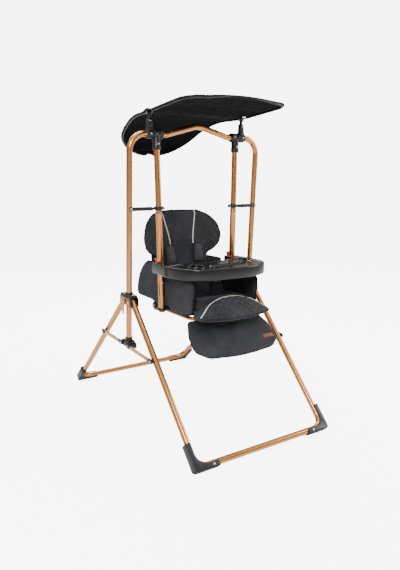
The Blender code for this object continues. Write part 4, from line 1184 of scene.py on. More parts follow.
def filled(name, work, voxel, pressure, cap, eased=2):
    """Remesh a closed form, blow it up as cloth, hold every point within a cap, and refine it."""
    mesh = voxelled(mesh_from(name, work), voxel)
    start = np.empty(len(mesh.vertices) * 3)
    mesh.vertices.foreach_get("co", start)
    holder = into_scene("cloth_work", mesh)
    mod = holder.modifiers.new("cloth", "CLOTH")
    mod.settings.quality = 5
    mod.settings.mass = 0.25
    mod.settings.tension_stiffness = 18
    mod.settings.compression_stiffness = 18
    mod.settings.shear_stiffness = 8
    mod.settings.bending_stiffness = 0.6
    mod.settings.use_pressure = True
    mod.settings.uniform_pressure_force = pressure
    mod.settings.effector_weights.gravity = 0
    scene = bpy.context.scene
    for step in range(1, 17):
        scene.frame_set(step)
    result = evaluated(holder)
    moved = np.empty(len(result.vertices) * 3)
    result.vertices.foreach_get("co", moved)
    shift = (moved - start).reshape(-1, 3)
    far = np.linalg.norm(shift, axis=1)
    keep = np.where(far > 1e-9, cap * np.tanh(far / cap) / np.maximum(far, 1e-9), 0)
    result.vertices.foreach_set("co", (start.reshape(-1, 3) + shift * keep[:, None]).ravel())
    bpy.data.objects.remove(holder, do_unlink=True)
    scene.frame_set(1)
    mesh = result
    work = bmesh.new()
    work.from_mesh(mesh)
    softened(work, eased)
    bmesh.ops.subdivide_edges(work, edges=work.edges, cuts=1, use_grid_fill=True, smooth=0.6)
    softened(work, 1)
    print(name, "pad verts", len(work.verts))
    return work


# %% Pressing seams and quilting into a pad
def pressed(work, measure):
    """Move every point along its normal by what the measure gives for it, in metres."""
    work.normal_update()
    moves = [(vert, vert.normal.copy(), measure(vert.co, vert.normal)) for vert in work.verts]
    for vert, normal, amount in moves:
        if amount:
            vert.co += normal * amount
    return work


def groove(distance, depth, width):
    """A sewn line: the cloth dives into a sharp valley with soft shoulders."""
    return -depth * exp(-(distance / width) ** 2) - depth * 0.35 * exp(-(distance / (width * 3.2)) ** 2)


def diamond(a, b, size, depth, width=0.0016):
    """Quilting: the valley nearest to a point of a diamond grid, and the puff between valleys."""
    u, v = (a + b) / size, (a - b) / size
    near = min(abs(u - round(u)), abs(v - round(v))) * size * 0.7071
    puff = abs(sin(pi * u) * sin(pi * v)) ** 0.7
    return groove(near, depth, width) + depth * 0.9 * puff


def eased_step(value, low, high):
    """From 0 at the low limit to 1 at the high one, with soft ends."""
    part = max(0.0, min(1.0, (value - low) / (high - low)))
    return part * part * (3 - 2 * part)


def line_distance(line):
    """A quick test of how far a point is from a line in space."""
    dense = evened(line, 0.0015)
    tree = KDTree(len(dense))
    for n, point in enumerate(dense):
        tree.insert(point, n)
    tree.balance()
    return lambda spot: tree.find(spot)[2]


def wrinkle(co, scale, depth):
    """Slow rumples of cloth, from layered noise."""
    return depth * noise.fractal(Vector(co) * scale, 0.8, 2.2, 3)


# %% Laying piping, bindings and stitches on a pad
def surface_of(piece):
    """A search tree of the piece's faces, for laying lines on it."""
    work = bmesh.new()
    work.from_mesh(piece.data)
    tree = BVHTree.FromBMesh(work)
    work.free()
    return tree


def laid(points, tree, lift=0.0, spacing=0.004, closed=False, rounds=3):
    """A line pulled onto a surface, lifted a little and eased."""
    line = []
    for point in evened(points, spacing, closed):
        spot, normal, _, _ = tree.find_nearest(point)
        line.append(spot + normal * lift)
    return relaxed(line, rounds, closed)


def traced(points, tree, way, lift=0.0, spacing=0.003, rounds=1):
    """A line dropped onto a surface along one direction. Points that miss it are left out."""
    line = []
    for point in evened(points, spacing):
        spot, normal, _, _ = tree.ray_cast(point - Vector(way) * 0.2, Vector(way))
        if spot is not None:
            line.append(spot + normal * lift)
    return relaxed(line, rounds) if len(line) > 2 else line


# %% [markdown]
# The stitch tree turns any line into a row of short threads. Its length, gap and thickness are
# inputs, so one tree serves the fine seams, the quilting and the heavy hems.

# %% The stitch tree
stitching, sew_in, sew_out = new_group(
    "sew_stitches", [("Line", "Geometry", None), ("Pitch", "Float", 0.0042), ("Length", "Float", 0.0028),
                     ("Thickness", "Float", 0.00045), ("Finish", "Material", None)],
    [("Result", "Geometry")], "GeometryNodeTree")
seam_curve = add_node(stitching, "GeometryNodeMeshToCurve", {"Mesh": sew_in.outputs["Line"]})
even_curve = add_node(stitching, "GeometryNodeResampleCurve", mode="LENGTH")
fill_inputs(stitching, even_curve, {"Curve": seam_curve.outputs[0], "Length": sew_in.outputs["Pitch"]})
along = add_node(stitching, "GeometryNodeInputTangent").outputs[0]
aim = add_node(stitching, "FunctionNodeAlignRotationToVector", {"Vector": along}, axis="Z")
thread = add_node(stitching, "GeometryNodeMeshCylinder",
                  {"Vertices": 6, "Radius": sew_in.outputs["Thickness"],
                   "Depth": sew_in.outputs["Length"]})
row = add_node(stitching, "GeometryNodeInstanceOnPoints",
               {"Points": even_curve.outputs[0], "Instance": thread.outputs["Mesh"],
                "Rotation": aim.outputs[0]})
dressed(stitching, row.outputs["Instances"], sew_in, sew_out)

# %% [markdown]
# Stitches, piping and pads are each made by one function, so every soft piece is built alike.

# %% Stitches, piping and pillows
def stitched(name, lines, body, finish=THREAD, pitch=0.0042, length=0.0028,
             thickness=0.00045):
    """One piece with the stitches of many lines."""
    mesh = bpy.data.meshes.new("lines")
    points, edges = [], []
    for line in lines:
        if len(line) < 2:
            continue
        first = len(points)
        points += [tuple(p) for p in line]
        edges += [(first + n, first + n + 1) for n in range(len(line) - 1)]
    mesh.from_pydata(points, edges, [])
    sewn = baked_tree(mesh, stitching, {"Pitch": pitch, "Length": length, "Thickness": thickness,
                                        "Finish": finish})
    return add(name, sewn, finish, body, smooth=0)


def piped(name, lines, body, finish, radius, closed=False):
    """One piece of round piping along one or more lines."""
    work = bmesh.new()
    for line in lines:
        sweep_into(work, line, radius, 12, closed)
    return add(name, work, finish, body)


def pillow_into(work, outer, low, high, plane=Matrix()):
    """A closed pad over an outline in a plane: full in the middle, drawn in to a rim between."""
    centre = Vector((sum(p[0] for p in outer) / len(outer), sum(p[1] for p in outer) / len(outer)))
    middle = low + (high - low) * 0.35
    draw_in = 0.65 * (high - low)
    steps = 5

    def ring(inset, z):
        spots = [Vector((p[0], p[1])) for p in outer]
        spots = [spot + (centre - spot).normalized() * inset for spot in spots]
        return [work.verts.new(plane @ Vector((*spot, z))) for spot in spots]

    turns = [pi / 2 * k / steps for k in range(steps + 1)]
    top = [ring(draw_in * (1 - cos(turn)), middle + (high - middle) * sin(turn)) for turn in turns]
    bottom = [ring(draw_in * (1 - cos(turn)), middle - (middle - low) * sin(turn)) for turn in turns[1:]]
    return joined(work, bottom[::-1] + top)


# %% [markdown]
# ## Cushion
# The seat cushion is a simple filled pad between the side walls, with two sewn channels across it.

# %% Seat cushion
outline = rounded([((-0.140, -0.219, 0), 0.020), ((0.140, -0.219, 0), 0.020),
                   ((0.140, 0.072, 0), 0.025), ((-0.140, 0.072, 0), 0.025)], True, radians(12))
outline = evened(outline, 0.008, True)
work = pillow_into(bmesh.new(), [(p.x, p.y + CROSS_Y) for p in outline], 0.4985, 0.5520)
work = filled("seat_cushion", work, 0.006, 4.0, 0.005)


def cushion_relief(co, normal):
    """Channels on the top face only."""
    if normal.z < 0.4:
        return wrinkle(co, 22, 0.0008)
    y = co.y - CROSS_Y
    lines = min(abs(y + 0.045), abs(y + 0.125) + 0.0004)
    return groove(lines, 0.0035, 0.0030) + wrinkle(co, 26, 0.0010)


pressed(work, cushion_relief)
for vert in work.verts:
    vert.co.z = max(vert.co.z, 0.4955)
cushion = add("cushion_pad", work, CHARCOAL, "swing", ["seat_cushion"], 0)
skin = surface_of(cushion)
rows = [[place(x, y, 0.6) for x in (-0.128, 0.128)] for y in (-0.045, -0.125)]
stitched("cushion_stitches", [traced(row, skin, (0, 0, -1), 0.0003) for row in rows], "swing")
piped("cushion_piping", [laid([place(p.x, p.y, 0.524) for p in outline], skin, 0.0006, 0.006, True, 2)],
      "swing", BINDING, 0.0021, True)

# %% [markdown]
# ## Front pad
# The half-moon in front of the cushion is the piece that the eye meets first. It is thick behind,
# where a cream piping arches over it, and rolls forward and down to a bowed lower edge. Its face
# is quilted in diamonds.

# %% Front pad form
PAD_HALF = 0.1715


def pad_section(x):
    """Back, front, low and high limits of the front pad across one x."""
    part = min(1.0, abs(x) / PAD_HALF)
    back = -0.2245
    front = -0.3215 + 0.030 * part ** 2.4
    high = 0.5125 + 0.0600 * (1 - part ** 2.1)
    low = 0.4880 + 0.0080 * part ** 2
    return back, front, low, high


def pad_face(x, s):
    """A point on the front pad's face: s runs from the back edge, 0, to the lower front edge, 1."""
    back, front, low, high = pad_section(x)
    angle = pi / 2 * s
    reach = sin(angle) ** 1.15
    drop = 1 - cos(angle) ** 0.95 if s < 1 else 1.0
    return place(x, back + (front - back) * reach, high + (low + 0.010 - high) * drop)


work = bmesh.new()
sections = []
columns = 44
for n in range(columns + 1):
    x = PAD_HALF * sin(pi / 2 * (2 * n / columns - 1))
    back, front, low, high = pad_section(x)
    ring = [pad_face(x, k / 14) for k in range(15)]
    ring += [place(x, front + 0.010, low + 0.002), place(x, front + 0.035, low)]
    ring += [place(x, back - 0.010, low), place(x, back, low + 0.006), place(x, back, high - 0.006)]
    sections.append([work.verts.new(point) for point in ring])
for first, second in zip(sections, sections[1:]):
    for k in range(len(first)):
        work.faces.new((first[k], first[(k + 1) % len(first)], second[(k + 1) % len(first)], second[k]))
work.faces.new(sections[0][::-1])
work.faces.new(sections[-1])
work = filled("front_bolster", work, 0.0045, 4.0, 0.0035, 1)


def arch_s(x):
    """Where the piping arch crosses the face: near the back in the middle, far forward at the ends."""
    return 0.07 + 0.50 * min(1.0, abs(x) / 0.165) ** 3.0


arch = [pad_face(0.166 * sin(pi / 2 * (n / 30 - 1)), arch_s(0.166 * sin(pi / 2 * (n / 30 - 1)))) for n in range(61)]
to_arch = line_distance(arch)


def bolster_relief(co, normal):
    """Diamonds in front of the arch, plain cloth behind it."""
    y, z = co.y - CROSS_Y, co.z
    if normal.z < -0.3 or y > -0.226:
        return wrinkle(co, 24, 0.0006)
    back, front, low, high = pad_section(co.x)
    down = (back - y) * 0.85 + (high - z) * 0.75
    height = groove(to_arch(co), 0.0022, 0.0024)
    ahead = pad_face(co.x, arch_s(co.x)).y - co.y
    mask = eased_step(ahead, 0.003, 0.010) * (1 - eased_step(abs(co.x), 0.158, 0.168))
    return height + mask * diamond(co.x, down * 1.08, 0.040, 0.0020, 0.0015) + wrinkle(co, 26, 0.0006)


pressed(work, bolster_relief)
bolster = add("front_pad", work, CHARCOAL, "swing", ["front_bolster"], 0)
skin = surface_of(bolster)
piped("front_pad_piping", [laid(arch, skin, 0.0010, 0.004)], "swing", CREAM, 0.0024)
lower_edge = [pad_face(PAD_HALF * 0.985 * sin(pi / 2 * (n / 24 - 1)), 0.985) for n in range(49)]
piped("front_pad_edge", [laid(lower_edge, skin, 0.0004, 0.004)], "swing", BINDING, 0.0021)
quilt_lines = []
for k in range(-9, 10):
    for way in (-1, 1):
        line = []
        for n in range(90):
            s = 0.12 + 0.80 * n / 89
            back, front, low, high = pad_section(0)
            spot = pad_face(0, s)
            down = (back - (spot.y - CROSS_Y)) * 0.85 + (high - spot.z) * 0.75
            x = k * 0.040 - way * down * 1.08
            if abs(x) > 0.155:
                continue
            point = pad_face(x, s)
            back, front, low, high = pad_section(x)
            real_down = (back - (point.y - CROSS_Y)) * 0.85 + (high - point.z) * 0.75
            x = k * 0.040 - way * real_down * 1.08
            if abs(x) > 0.157 or s < arch_s(x) + 0.06:
                continue
            line.append(pad_face(x, s))
        if len(line) > 6:
            quilt_lines.append(laid(line, skin, 0.0002, 0.003, False, 1))
stitched("front_pad_stitches", quilt_lines, "swing", pitch=0.0034, length=0.0024, thickness=0.00035)
hem_line = [pad_face(x, min(0.95, arch_s(x) + 0.045)) for x in [0.160 * sin(pi / 2 * (n / 30 - 1)) for n in range(61)]]
stitched("front_pad_hem", [laid(hem_line, skin, 0.0003, 0.004)], "swing")

# %% [markdown]
# ## Side walls
# Each side wall is a thin padded panel of two cloths: charcoal in front of the hanger, slate in
# the quarter-round lobe behind it. A black binding runs round the whole rim, and soft folds fall
# from the tray's edge.

# %% Side walls
LOBE = 0.178
for label, sign in SIDES:
    arc = []
    for n in range(22):
        angle = radians(5 + 61.5 * n / 21)
        arc.append(((RECLINE_Y + LOBE * cos(angle), RECLINE_Z + LOBE * sin(angle), 0), 0))
    rim = rounded([((-0.222, 0.640, 0), 0.022), ((-0.208, 0.505, 0), 0.030),
                   ((-0.110, 0.4865, 0), 0.06), ((-0.046, 0.4855, 0), 0.010),
                   ((-0.020, 0.5035, 0), 0.008), ((0.262, 0.514, 0), 0.010), *arc,
                   ((0.046, 0.6850, 0), 0.012), ((0.046, 0.6400, 0), 0.012)], True, radians(10))
    rim = evened(rim, 0.005, True)
    work = bmesh.new()
    slab_into(work, rim, -0.0052, 0.0052, side_matrix(sign * 0.158, FROM_CROSSBAR),
              0.0040, 3)
    work = filled(f"side_panel_{label}", work, 0.0048, 3.0, 0.0022, 1)
    outline_3d = [place(sign * 0.158, p.x, p.y) for p in rim]
    to_rim = line_distance(outline_3d + outline_3d[:1])

    def wall_relief(co, normal):
        """A puffed field inside a flat sewn margin, with folds that fall from the top."""
        if abs(normal.x) < 0.5:
            return 0.0
        away = to_rim(co)
        y = co.y - CROSS_Y
        field = eased_step(away, 0.008, 0.030)
        fold = 0.0011 * sin(y * 62 + 1.7 * noise.noise(Vector((co.y * 8, co.z * 5, 1)))) * (y < 0.0)
        seam = groove(abs(y - 0.022), 0.0016, 0.0022)
        return groove(abs(away - 0.0085), 0.0012, 0.0016) + field * (0.0012 + fold) + seam + wrinkle(co, 18, 0.0007)

    pressed(work, wall_relief)
    for vert in work.verts:
        inner_x = abs(vert.co.x)
        vert.co.x = sign * max(0.1508, min(0.1656, inner_x))
    mesh = bpy.data.meshes.new("wall")
    work.to_mesh(mesh)
    work.free()
    mesh.materials.append(CHARCOAL)
    mesh.materials.append(SLATE)
    for face in mesh.polygons:
        face.material_index = 1 if face.center.y - CROSS_Y > 0.022 else 0
    wall = add(f"side_wall_{label}", mesh, CHARCOAL, "swing",
               [f"side_panel_{label}"], 0)
    skin = surface_of(wall)
    binding = laid(outline_3d, skin, 0.0, 0.005, True, 2)
    piped(f"side_binding_{label}", [binding], "swing", BINDING, 0.0034, True)
    inset = []
    count = len(rim)
    for n in range(count):
        before, after = rim[n - 1], rim[(n + 1) % count]
        along = (after - before).normalized()
        inset.append(rim[n] + Vector((along.y, -along.x, 0)) * -0.0085)
    centre = sum(rim, Vector()) / count
    if (inset[0] - centre).length > (rim[0] - centre).length:
        inset = [rim[n] * 2 - inset[n] for n in range(count)]
    for face in (-1, 1):
        flat_line = [place(sign * 0.158 + face * 0.05, p.x, p.y) for p in inset]
        line = traced(flat_line + flat_line[:1], skin, (-face, 0, 0), 0.0003)
        stitched(f"side_stitches_{label}_{'outer' if face == sign else 'inner'}", [line], "swing")

# %% [markdown]
# ## Backrest
# The back is slim between the side walls and opens into two wings above them, like the side
# bolsters of a car seat. Its middle field is framed by two cream pipings and crossed by one seam.
# The wings are quilted in diamonds and turn forward.

# %% Backrest form
BACK_STOPS = ((0.572, 0.1385), (0.640, 0.1400), (0.698, 0.1405), (0.705, 0.1500), (0.713, 0.1660),
              (0.722, 0.1810), (0.735, 0.1930), (0.752, 0.2010), (0.775, 0.2055), (0.800, 0.2050),
              (0.825, 0.1980), (0.850, 0.1850), (0.870, 0.1650), (0.885, 0.1450), (0.896, 0.1230),
              (0.905, 0.0980))


def back_half_width(z):
    for (low, first), (high, last) in zip(BACK_STOPS, BACK_STOPS[1:]):
        if z <= high:
            return first + (last - first) * (z - low) / (high - low)
    return BACK_STOPS[-1][1]


def back_wing(z):
    """How far the wings come forward."""
    return 0.050 * sin(pi * max(0.0, min(1.0, (z - 0.690) / 0.240)))


def back_front(x, z, depth=0.0):
    """A point on the back's face, at a depth behind it."""
    part = min(1.0, abs(x) / back_half_width(z))
    front = 0.095 + (z - 0.572) * tan(BACK_LEAN)
    return place(x, front + depth - back_wing(z) * part ** 3, z)


work = bmesh.new()
levels = 46
faces_rows = []
for n in range(levels + 1):
    z = 0.5730 + (0.9040 - 0.5730) * n / levels
    half = back_half_width(z) - 0.0015
    end_ease = min(1.0, min(n, levels - n) / 3)
    thick = 0.0125 * sqrt(1 - (1 - end_ease) ** 2) + 0.0015
    ring = []
    for k in range(41):
        u = k / 20 - 1
        rim_ease = sqrt(max(0.0, 1 - abs(u) ** 9))
        ring.append(work.verts.new(back_front(u * half, z, 0.015 - thick * rim_ease)))
    for k in range(39, 0, -1):
        u = k / 20 - 1
        rim_ease = sqrt(max(0.0, 1 - abs(u) ** 9))
        ring.append(work.verts.new(back_front(u * half, z, 0.015 + thick * rim_ease)))
    faces_rows.append(ring)
for first, second in zip(faces_rows, faces_rows[1:]):
    for k in range(len(first)):
        work.faces.new((first[k], first[(k + 1) % len(first)], second[(k + 1) % len(first)], second[k]))
work.faces.new(faces_rows[0][::-1])
work.faces.new(faces_rows[-1])
work = filled("backrest", work, 0.0055, 4.0, 0.0050, 1)


def piping_x(z):
    """The piping stands closer together low down and spreads towards the top."""
    return 0.0600 + 0.0240 * eased_step(z, 0.745, 0.905) + 0.004 * eased_step(z, 0.86, 0.905)


def back_relief(co, normal):
    """Seams of the middle field, quilting on the wings, slow rumples everywhere."""
    if normal.y > 0.2:
        return wrinkle(co, 20, 0.0012)
    x, z = abs(co.x), co.z
    low = eased_step(z, 0.575, 0.590)
    height = groove(abs(x - piping_x(z)), 0.0034, 0.0034) * eased_step(z, 0.60, 0.64)
    if x < piping_x(z):
        height += groove(abs(z - 0.760), 0.0026, 0.0022)
        height += 0.0030 * (1 - (x / piping_x(z)) ** 4)
    edge_seam = abs(x - (0.112 + 0.030 * eased_step(z, 0.70, 0.80) - 0.028 * eased_step(z, 0.84, 0.905)))
    height += groove(edge_seam, 0.0020, 0.0022) * eased_step(z, 0.68, 0.72)
    wing = eased_step(x, 0.118 + 0.024 * eased_step(z, 0.70, 0.80) - 0.028 * eased_step(z, 0.84, 0.905),
                      0.130 + 0.024 * eased_step(z, 0.70, 0.80) - 0.028 * eased_step(z, 0.84, 0.905))
    rim = 1 - eased_step(x, back_half_width(z) - 0.010, back_half_width(z) - 0.003)
    wing *= eased_step(z, 0.690, 0.715) * (1 - eased_step(z, 0.890, 0.900)) * rim
    arc = x + 0.4 * back_wing(z) * (x / back_half_width(z)) ** 3
    return low * height + wing * diamond(arc, z - 0.78, 0.040, 0.0024, 0.0016) + wrinkle(co, 24, 0.0010)


pressed(work, back_relief)
back = add("backrest_cover", work, CHARCOAL, "backrest", ["backrest_pad"], 0)
skin = surface_of(back)
BACK_WAY = (0, 1, 0)
seams, creams = [], []
for sign in (-1, 1):
    line = [place(sign * piping_x(z), -0.1, z) for z in np.linspace(0.748, 0.897, 50)]
    creams.append(traced(line, skin, BACK_WAY, 0.0012, 0.004, 3))
    for offset in (-0.0055, 0.0055):
        line = [place(sign * (piping_x(z) + offset), -0.1, z) for z in np.linspace(0.640, 0.893, 80)]
        seams.append(traced(line, skin, BACK_WAY, 0.0003))
for offset in (-0.0045, 0.0045):
    line = [place(x, -0.1, 0.760 + offset) for x in np.linspace(-0.055, 0.055, 40)]
    seams.append(traced(line, skin, BACK_WAY, 0.0003))
piped("back_piping", creams, "backrest", CREAM, 0.0026)
stitched("back_stitches", seams, "backrest")
quilt_lines = []
for sign in (-1, 1):
    for way in (-1, 1):
        for k in range(-4, 14):
            line = []
            for n in range(140):
                z = 0.705 + 0.190 * n / 139
                x = k * 0.040 - way * (z - 0.78)
                for _ in range(4):
                    share = max(0.0, min(1.0, x / back_half_width(z)))
                    x = k * 0.040 - way * (z - 0.78) - 0.4 * back_wing(z) * share ** 3
                start = 0.128 + 0.024 * eased_step(z, 0.70, 0.80) - 0.028 * eased_step(z, 0.84, 0.905)
                if start < x < back_half_width(z) - 0.008:
                    line.append(place(sign * x, -0.1, z))
            if len(line) > 8:
                quilt_lines.append(traced(line, skin, BACK_WAY, 0.0002, 0.003))
stitched("wing_stitches", quilt_lines, "backrest", pitch=0.0034, length=0.0024, thickness=0.00035)
rim = [back_front(sign * back_half_width(z), z, 0.015) for sign, zs in
       ((1, np.linspace(0.60, 0.9035, 60)), (-1, np.linspace(0.9035, 0.60, 60))) for z in zs]
piped("back_binding", [laid(rim, skin, 0.0004, 0.005, False, 2)], "backrest", BINDING, 0.0026)

# %% [markdown]
# ## Shoulder pads, crotch pad and harness
# Two soft grey pads sleeve the shoulder straps. The straps leave the back through slots under the
# cross seam, pass behind the pads, and meet the waist straps at the buckle on the crotch pad. A
# strap is flat webbing with a visible weave.

# %% Shoulder pads
BACK_PLANE = FROM_CROSSBAR @ Matrix.Translation((0, 0.095, 0.572)) @ Matrix.Rotation(-BACK_LEAN, 4, "X")
for label, sign in SIDES:
    middle = sign * 0.072
    outline = rounded([((middle - 0.0245, 0.097, 0), 0.006), ((middle + 0.0245, 0.097, 0), 0.006),
                       ((middle + sign * 0.004 + 0.0215, 0.176, 0), 0.019),
                       ((middle + sign * 0.004 - 0.0215, 0.176, 0), 0.019)], True, radians(12))
    outline = evened(outline, 0.004, True)
    turn = Matrix(((1, 0, 0, 0), (0, 0, 1, 0), (0, 1, 0, 0), (0, 0, 0, 1)))
    plane = BACK_PLANE @ turn
    work = pillow_into(bmesh.new(), outline, -0.0222, -0.0108)
    for vert in work.verts:
        vert.co = plane @ vert.co
    work = filled(f"shoulder_pad_{label}", work, 0.003, 3.0, 0.0018)
    rim = [plane @ Vector((p.x, p.y, -0.0165)) for p in outline]
    to_rim = line_distance(rim + rim[:1])

    def strap_pad_relief(co, normal):
        return groove(abs(to_rim(co) - 0.0075), 0.0012, 0.0015) + wrinkle(co, 30, 0.0005)

    pressed(work, strap_pad_relief)
    pad = add(f"shoulder_cover_{label}", work, GREY, "backrest",
              [f"shoulder_pad_{label}"], 0)
    skin = surface_of(pad)
    piped(f"shoulder_binding_{label}", [laid(rim, skin, 0.0, 0.004, True, 1)], "backrest", BINDING,
          0.0017, True)
    centre = sum(rim, Vector()) / len(rim)
    small = [point + (centre - point).normalized() * 0.0075 + Vector((0, -0.03, 0)) for point in rim]
    stitched(f"shoulder_stitches_{label}", [traced(small + small[:1], skin, BACK_WAY, 0.0003)], "backrest",
             pitch=0.0036, length=0.0024, thickness=0.0004)

# %% Crotch pad and buckle
outline = rounded([((-0.034, 0.561, 0), 0.006), ((0.034, 0.561, 0), 0.006),
                   ((0.031, 0.611, 0), 0.012), ((-0.031, 0.611, 0), 0.012)], True, radians(12))
outline = evened(outline, 0.004, True)
standing = FROM_CROSSBAR @ Matrix(((1, 0, 0, 0), (0, 0, 1, 0), (0, 1, 0, 0), (0, 0, 0, 1)))
work = pillow_into(bmesh.new(), outline, -0.149, -0.131)
for vert in work.verts:
    vert.co = standing @ vert.co
work = filled("crotch_pad", work, 0.003, 3.0, 0.002)
rim = [standing @ Vector((p.x, p.y, -0.140)) for p in outline]
to_rim = line_distance(rim + rim[:1])


def crotch_relief(co, normal):
    return groove(abs(to_rim(co) - 0.009), 0.0012, 0.0015) + wrinkle(co, 28, 0.0006)


pressed(work, crotch_relief)
crotch = add("crotch_cover", work, CHARCOAL, "swing", ["crotch_pad"], 0)
skin = surface_of(crotch)
piped("crotch_binding", [laid(rim, skin, 0.0, 0.004, True, 1)], "swing", BINDING, 0.0018, True)

shell = rounded([((-0.0235, 0.6140, 0), 0.008), ((0.0235, 0.6140, 0), 0.008),
                 ((0.0200, 0.6395, 0), 0.009), ((-0.0200, 0.6395, 0), 0.009)], True, radians(10))
work = slab_into(bmesh.new(), shell, -0.1485, -0.1325, standing, 0.0040, 4)
buckle = add("buckle_shell", work, BLACK, "swing", ["harness_buckle"])
button = slab_into(bmesh.new(), [(p.x * 0.48, (p.y - 0.6268) * 0.48 + 0.6268) for p in shell],
                   -0.1502, -0.1470, standing, 0.0012, 3)
add("buckle_button", button, RED, "swing")


# %% Harness straps
def webbing_into(work, points, facing, width=0.0240, thick=0.0016):
    """A flat strap along a line: its face turns the way that facing gives at each part."""
    line = relaxed(evened(points, 0.004), 4)
    count = len(line)
    rings = []
    for n, point in enumerate(line):
        heading = (line[min(count - 1, n + 1)] - line[max(0, n - 1)]).normalized()
        out = facing(n / (count - 1))
        out = (out - heading * out.dot(heading)).normalized()
        side_way = heading.cross(out)
        half, rise = width / 2, thick / 2
        shape = ((-half, -rise * 0.4), (-half + 0.0006, -rise), (half - 0.0006, -rise), (half, -rise * 0.4),
                 (half, rise * 0.4), (half - 0.0006, rise), (-half + 0.0006, rise), (-half, rise * 0.4))
        rings.append([work.verts.new(point + side_way * a + out * b) for a, b in shape])
    for first, second in zip(rings, rings[1:]):
        for k in range(8):
            work.faces.new((first[k], first[(k + 1) % 8], second[(k + 1) % 8], second[k]))
    work.faces.new(rings[0][::-1])
    work.faces.new(rings[-1])
    return line


def tongue_into(work, spot, heading, out):
    """The flat plastic tongue that a strap carries into the buckle."""
    side_way = heading.cross(out).normalized()
    base = Matrix((side_way, heading, out)).transposed().to_4x4()
    base.translation = spot
    slab_into(work, [(p.x, p.y) for p in rounded([((-0.015, -0.010, 0), 0.003), ((0.015, -0.010, 0), 0.003),
                     ((0.008, 0.012, 0), 0.004), ((-0.008, 0.012, 0), 0.004)], True, radians(15))],
              -0.0016, 0.0016, base, 0.0006)


for label, sign in SIDES:
    slot_y = 0.095 + (0.754 - 0.572) * tan(BACK_LEAN)
    upper = [place(sign * 0.070, slot_y + 0.004, 0.757), place(sign * 0.070, slot_y - 0.0055, 0.750),
             place(sign * 0.071, 0.1150, 0.700), place(sign * 0.071, 0.1060, 0.666)]
    lower = [place(sign * 0.066, 0.0780, 0.654), place(sign * 0.048, -0.010, 0.650),
             place(sign * 0.026, -0.090, 0.6400), place(sign * 0.017, -0.128, 0.6310)]
    work = bmesh.new()
    webbing_into(work, upper + lower, lambda part: Vector((0, -1, 0.1 + 1.2 * part)))
    strap = add(f"shoulder_strap_{label}", work, WEBBING, None)
    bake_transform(strap)
    work = bmesh.new()
    webbing_into(work, [place(sign * 0.138, 0.035, 0.590), place(sign * 0.118, 0.010, 0.600),
                        place(sign * 0.075, -0.060, 0.612), place(sign * 0.030, -0.128, 0.622)],
                 lambda part: Vector((0, -0.35, 1)))
    add(f"waist_strap_{label}", work, WEBBING, "swing")
    work = bmesh.new()
    tongue_into(work, place(sign * 0.0200, -0.126, 0.6275), Vector((-sign * 0.3, -1, -0.1)).normalized(),
                Vector((0, -0.1, 1)).normalized())
    add(f"strap_tongue_{label}", work, BLACK, "swing")

# %% [markdown]
# A wide tongue of cloth closes the gap between the cushion and the back, so that nothing can slip
# behind. It is sewn to both.

# %% Gap closer
work = bmesh.new()
webbing_into(work, [place(0, 0.040, 0.5525), place(0, 0.076, 0.5550), place(0, 0.0925, 0.5730),
                    place(0, 0.1000, 0.6020)], lambda part: Vector((0, -1, 0.9 - 0.8 * part)), 0.284, 0.0030)
tongue = add("gap_closer", work, CHARCOAL, None)
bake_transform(tongue)

# %% [markdown]
# ## Footrest
# A flat padded panel hangs from the seat's front tube. Two sewn creases run across its upper
# part, a black binding runs round it, and a small blank leather patch is sewn near one corner.

# %% Footrest pad
REST_FRAME = Matrix.Translation(place(0, BAR_Y, BAR_Z)) @ Matrix.Rotation(-FOOTREST_TILT, 4, "X")
REST_PLANE = REST_FRAME @ Matrix.Translation((0, -0.0135, 0)) @ Matrix.Rotation(pi / 2, 4, "X")
outline = rounded([((-0.172, -0.016, 0), 0.010), ((0.172, -0.016, 0), 0.010),
                   ((0.206, -0.095, 0), 0.050), ((0.208, -0.165, 0), 0.030),
                   ((0.160, -0.204, 0), 0.050), ((0.030, -0.217, 0), 0.30),
                   ((-0.030, -0.217, 0), 0.30), ((-0.160, -0.204, 0), 0.050),
                   ((-0.208, -0.165, 0), 0.030), ((-0.206, -0.095, 0), 0.050)], True, radians(6))
outline = evened(outline, 0.006, True)
work = pillow_into(bmesh.new(), outline, -0.0070, 0.0070)
for vert in work.verts:
    vert.co = REST_PLANE @ vert.co
work = filled("footrest_pad", work, 0.0048, 4.0, 0.0035)
rim = [REST_PLANE @ Vector((p.x, p.y, 0)) for p in outline]
to_rim = line_distance(rim + rim[:1])
REST_BACK = REST_PLANE.inverted()


def rest_relief(co, normal):
    """Creases across the top, a sewn margin and slow rumples, on both faces."""
    spot = REST_BACK @ Vector(co)
    bow = 0.004 * (spot.x / 0.18) ** 2
    crease = min(abs(spot.y + 0.048 - bow), abs(spot.y + 0.066 - bow * 0.5 - spot.x * 0.05))
    field = eased_step(to_rim(co), 0.010, 0.040)
    margin = groove(abs(to_rim(co) - 0.009), 0.0012, 0.0016)
    return field * groove(crease, 0.0022, 0.0030) + margin + field * 0.0010 + wrinkle(co, 15, 0.0014)


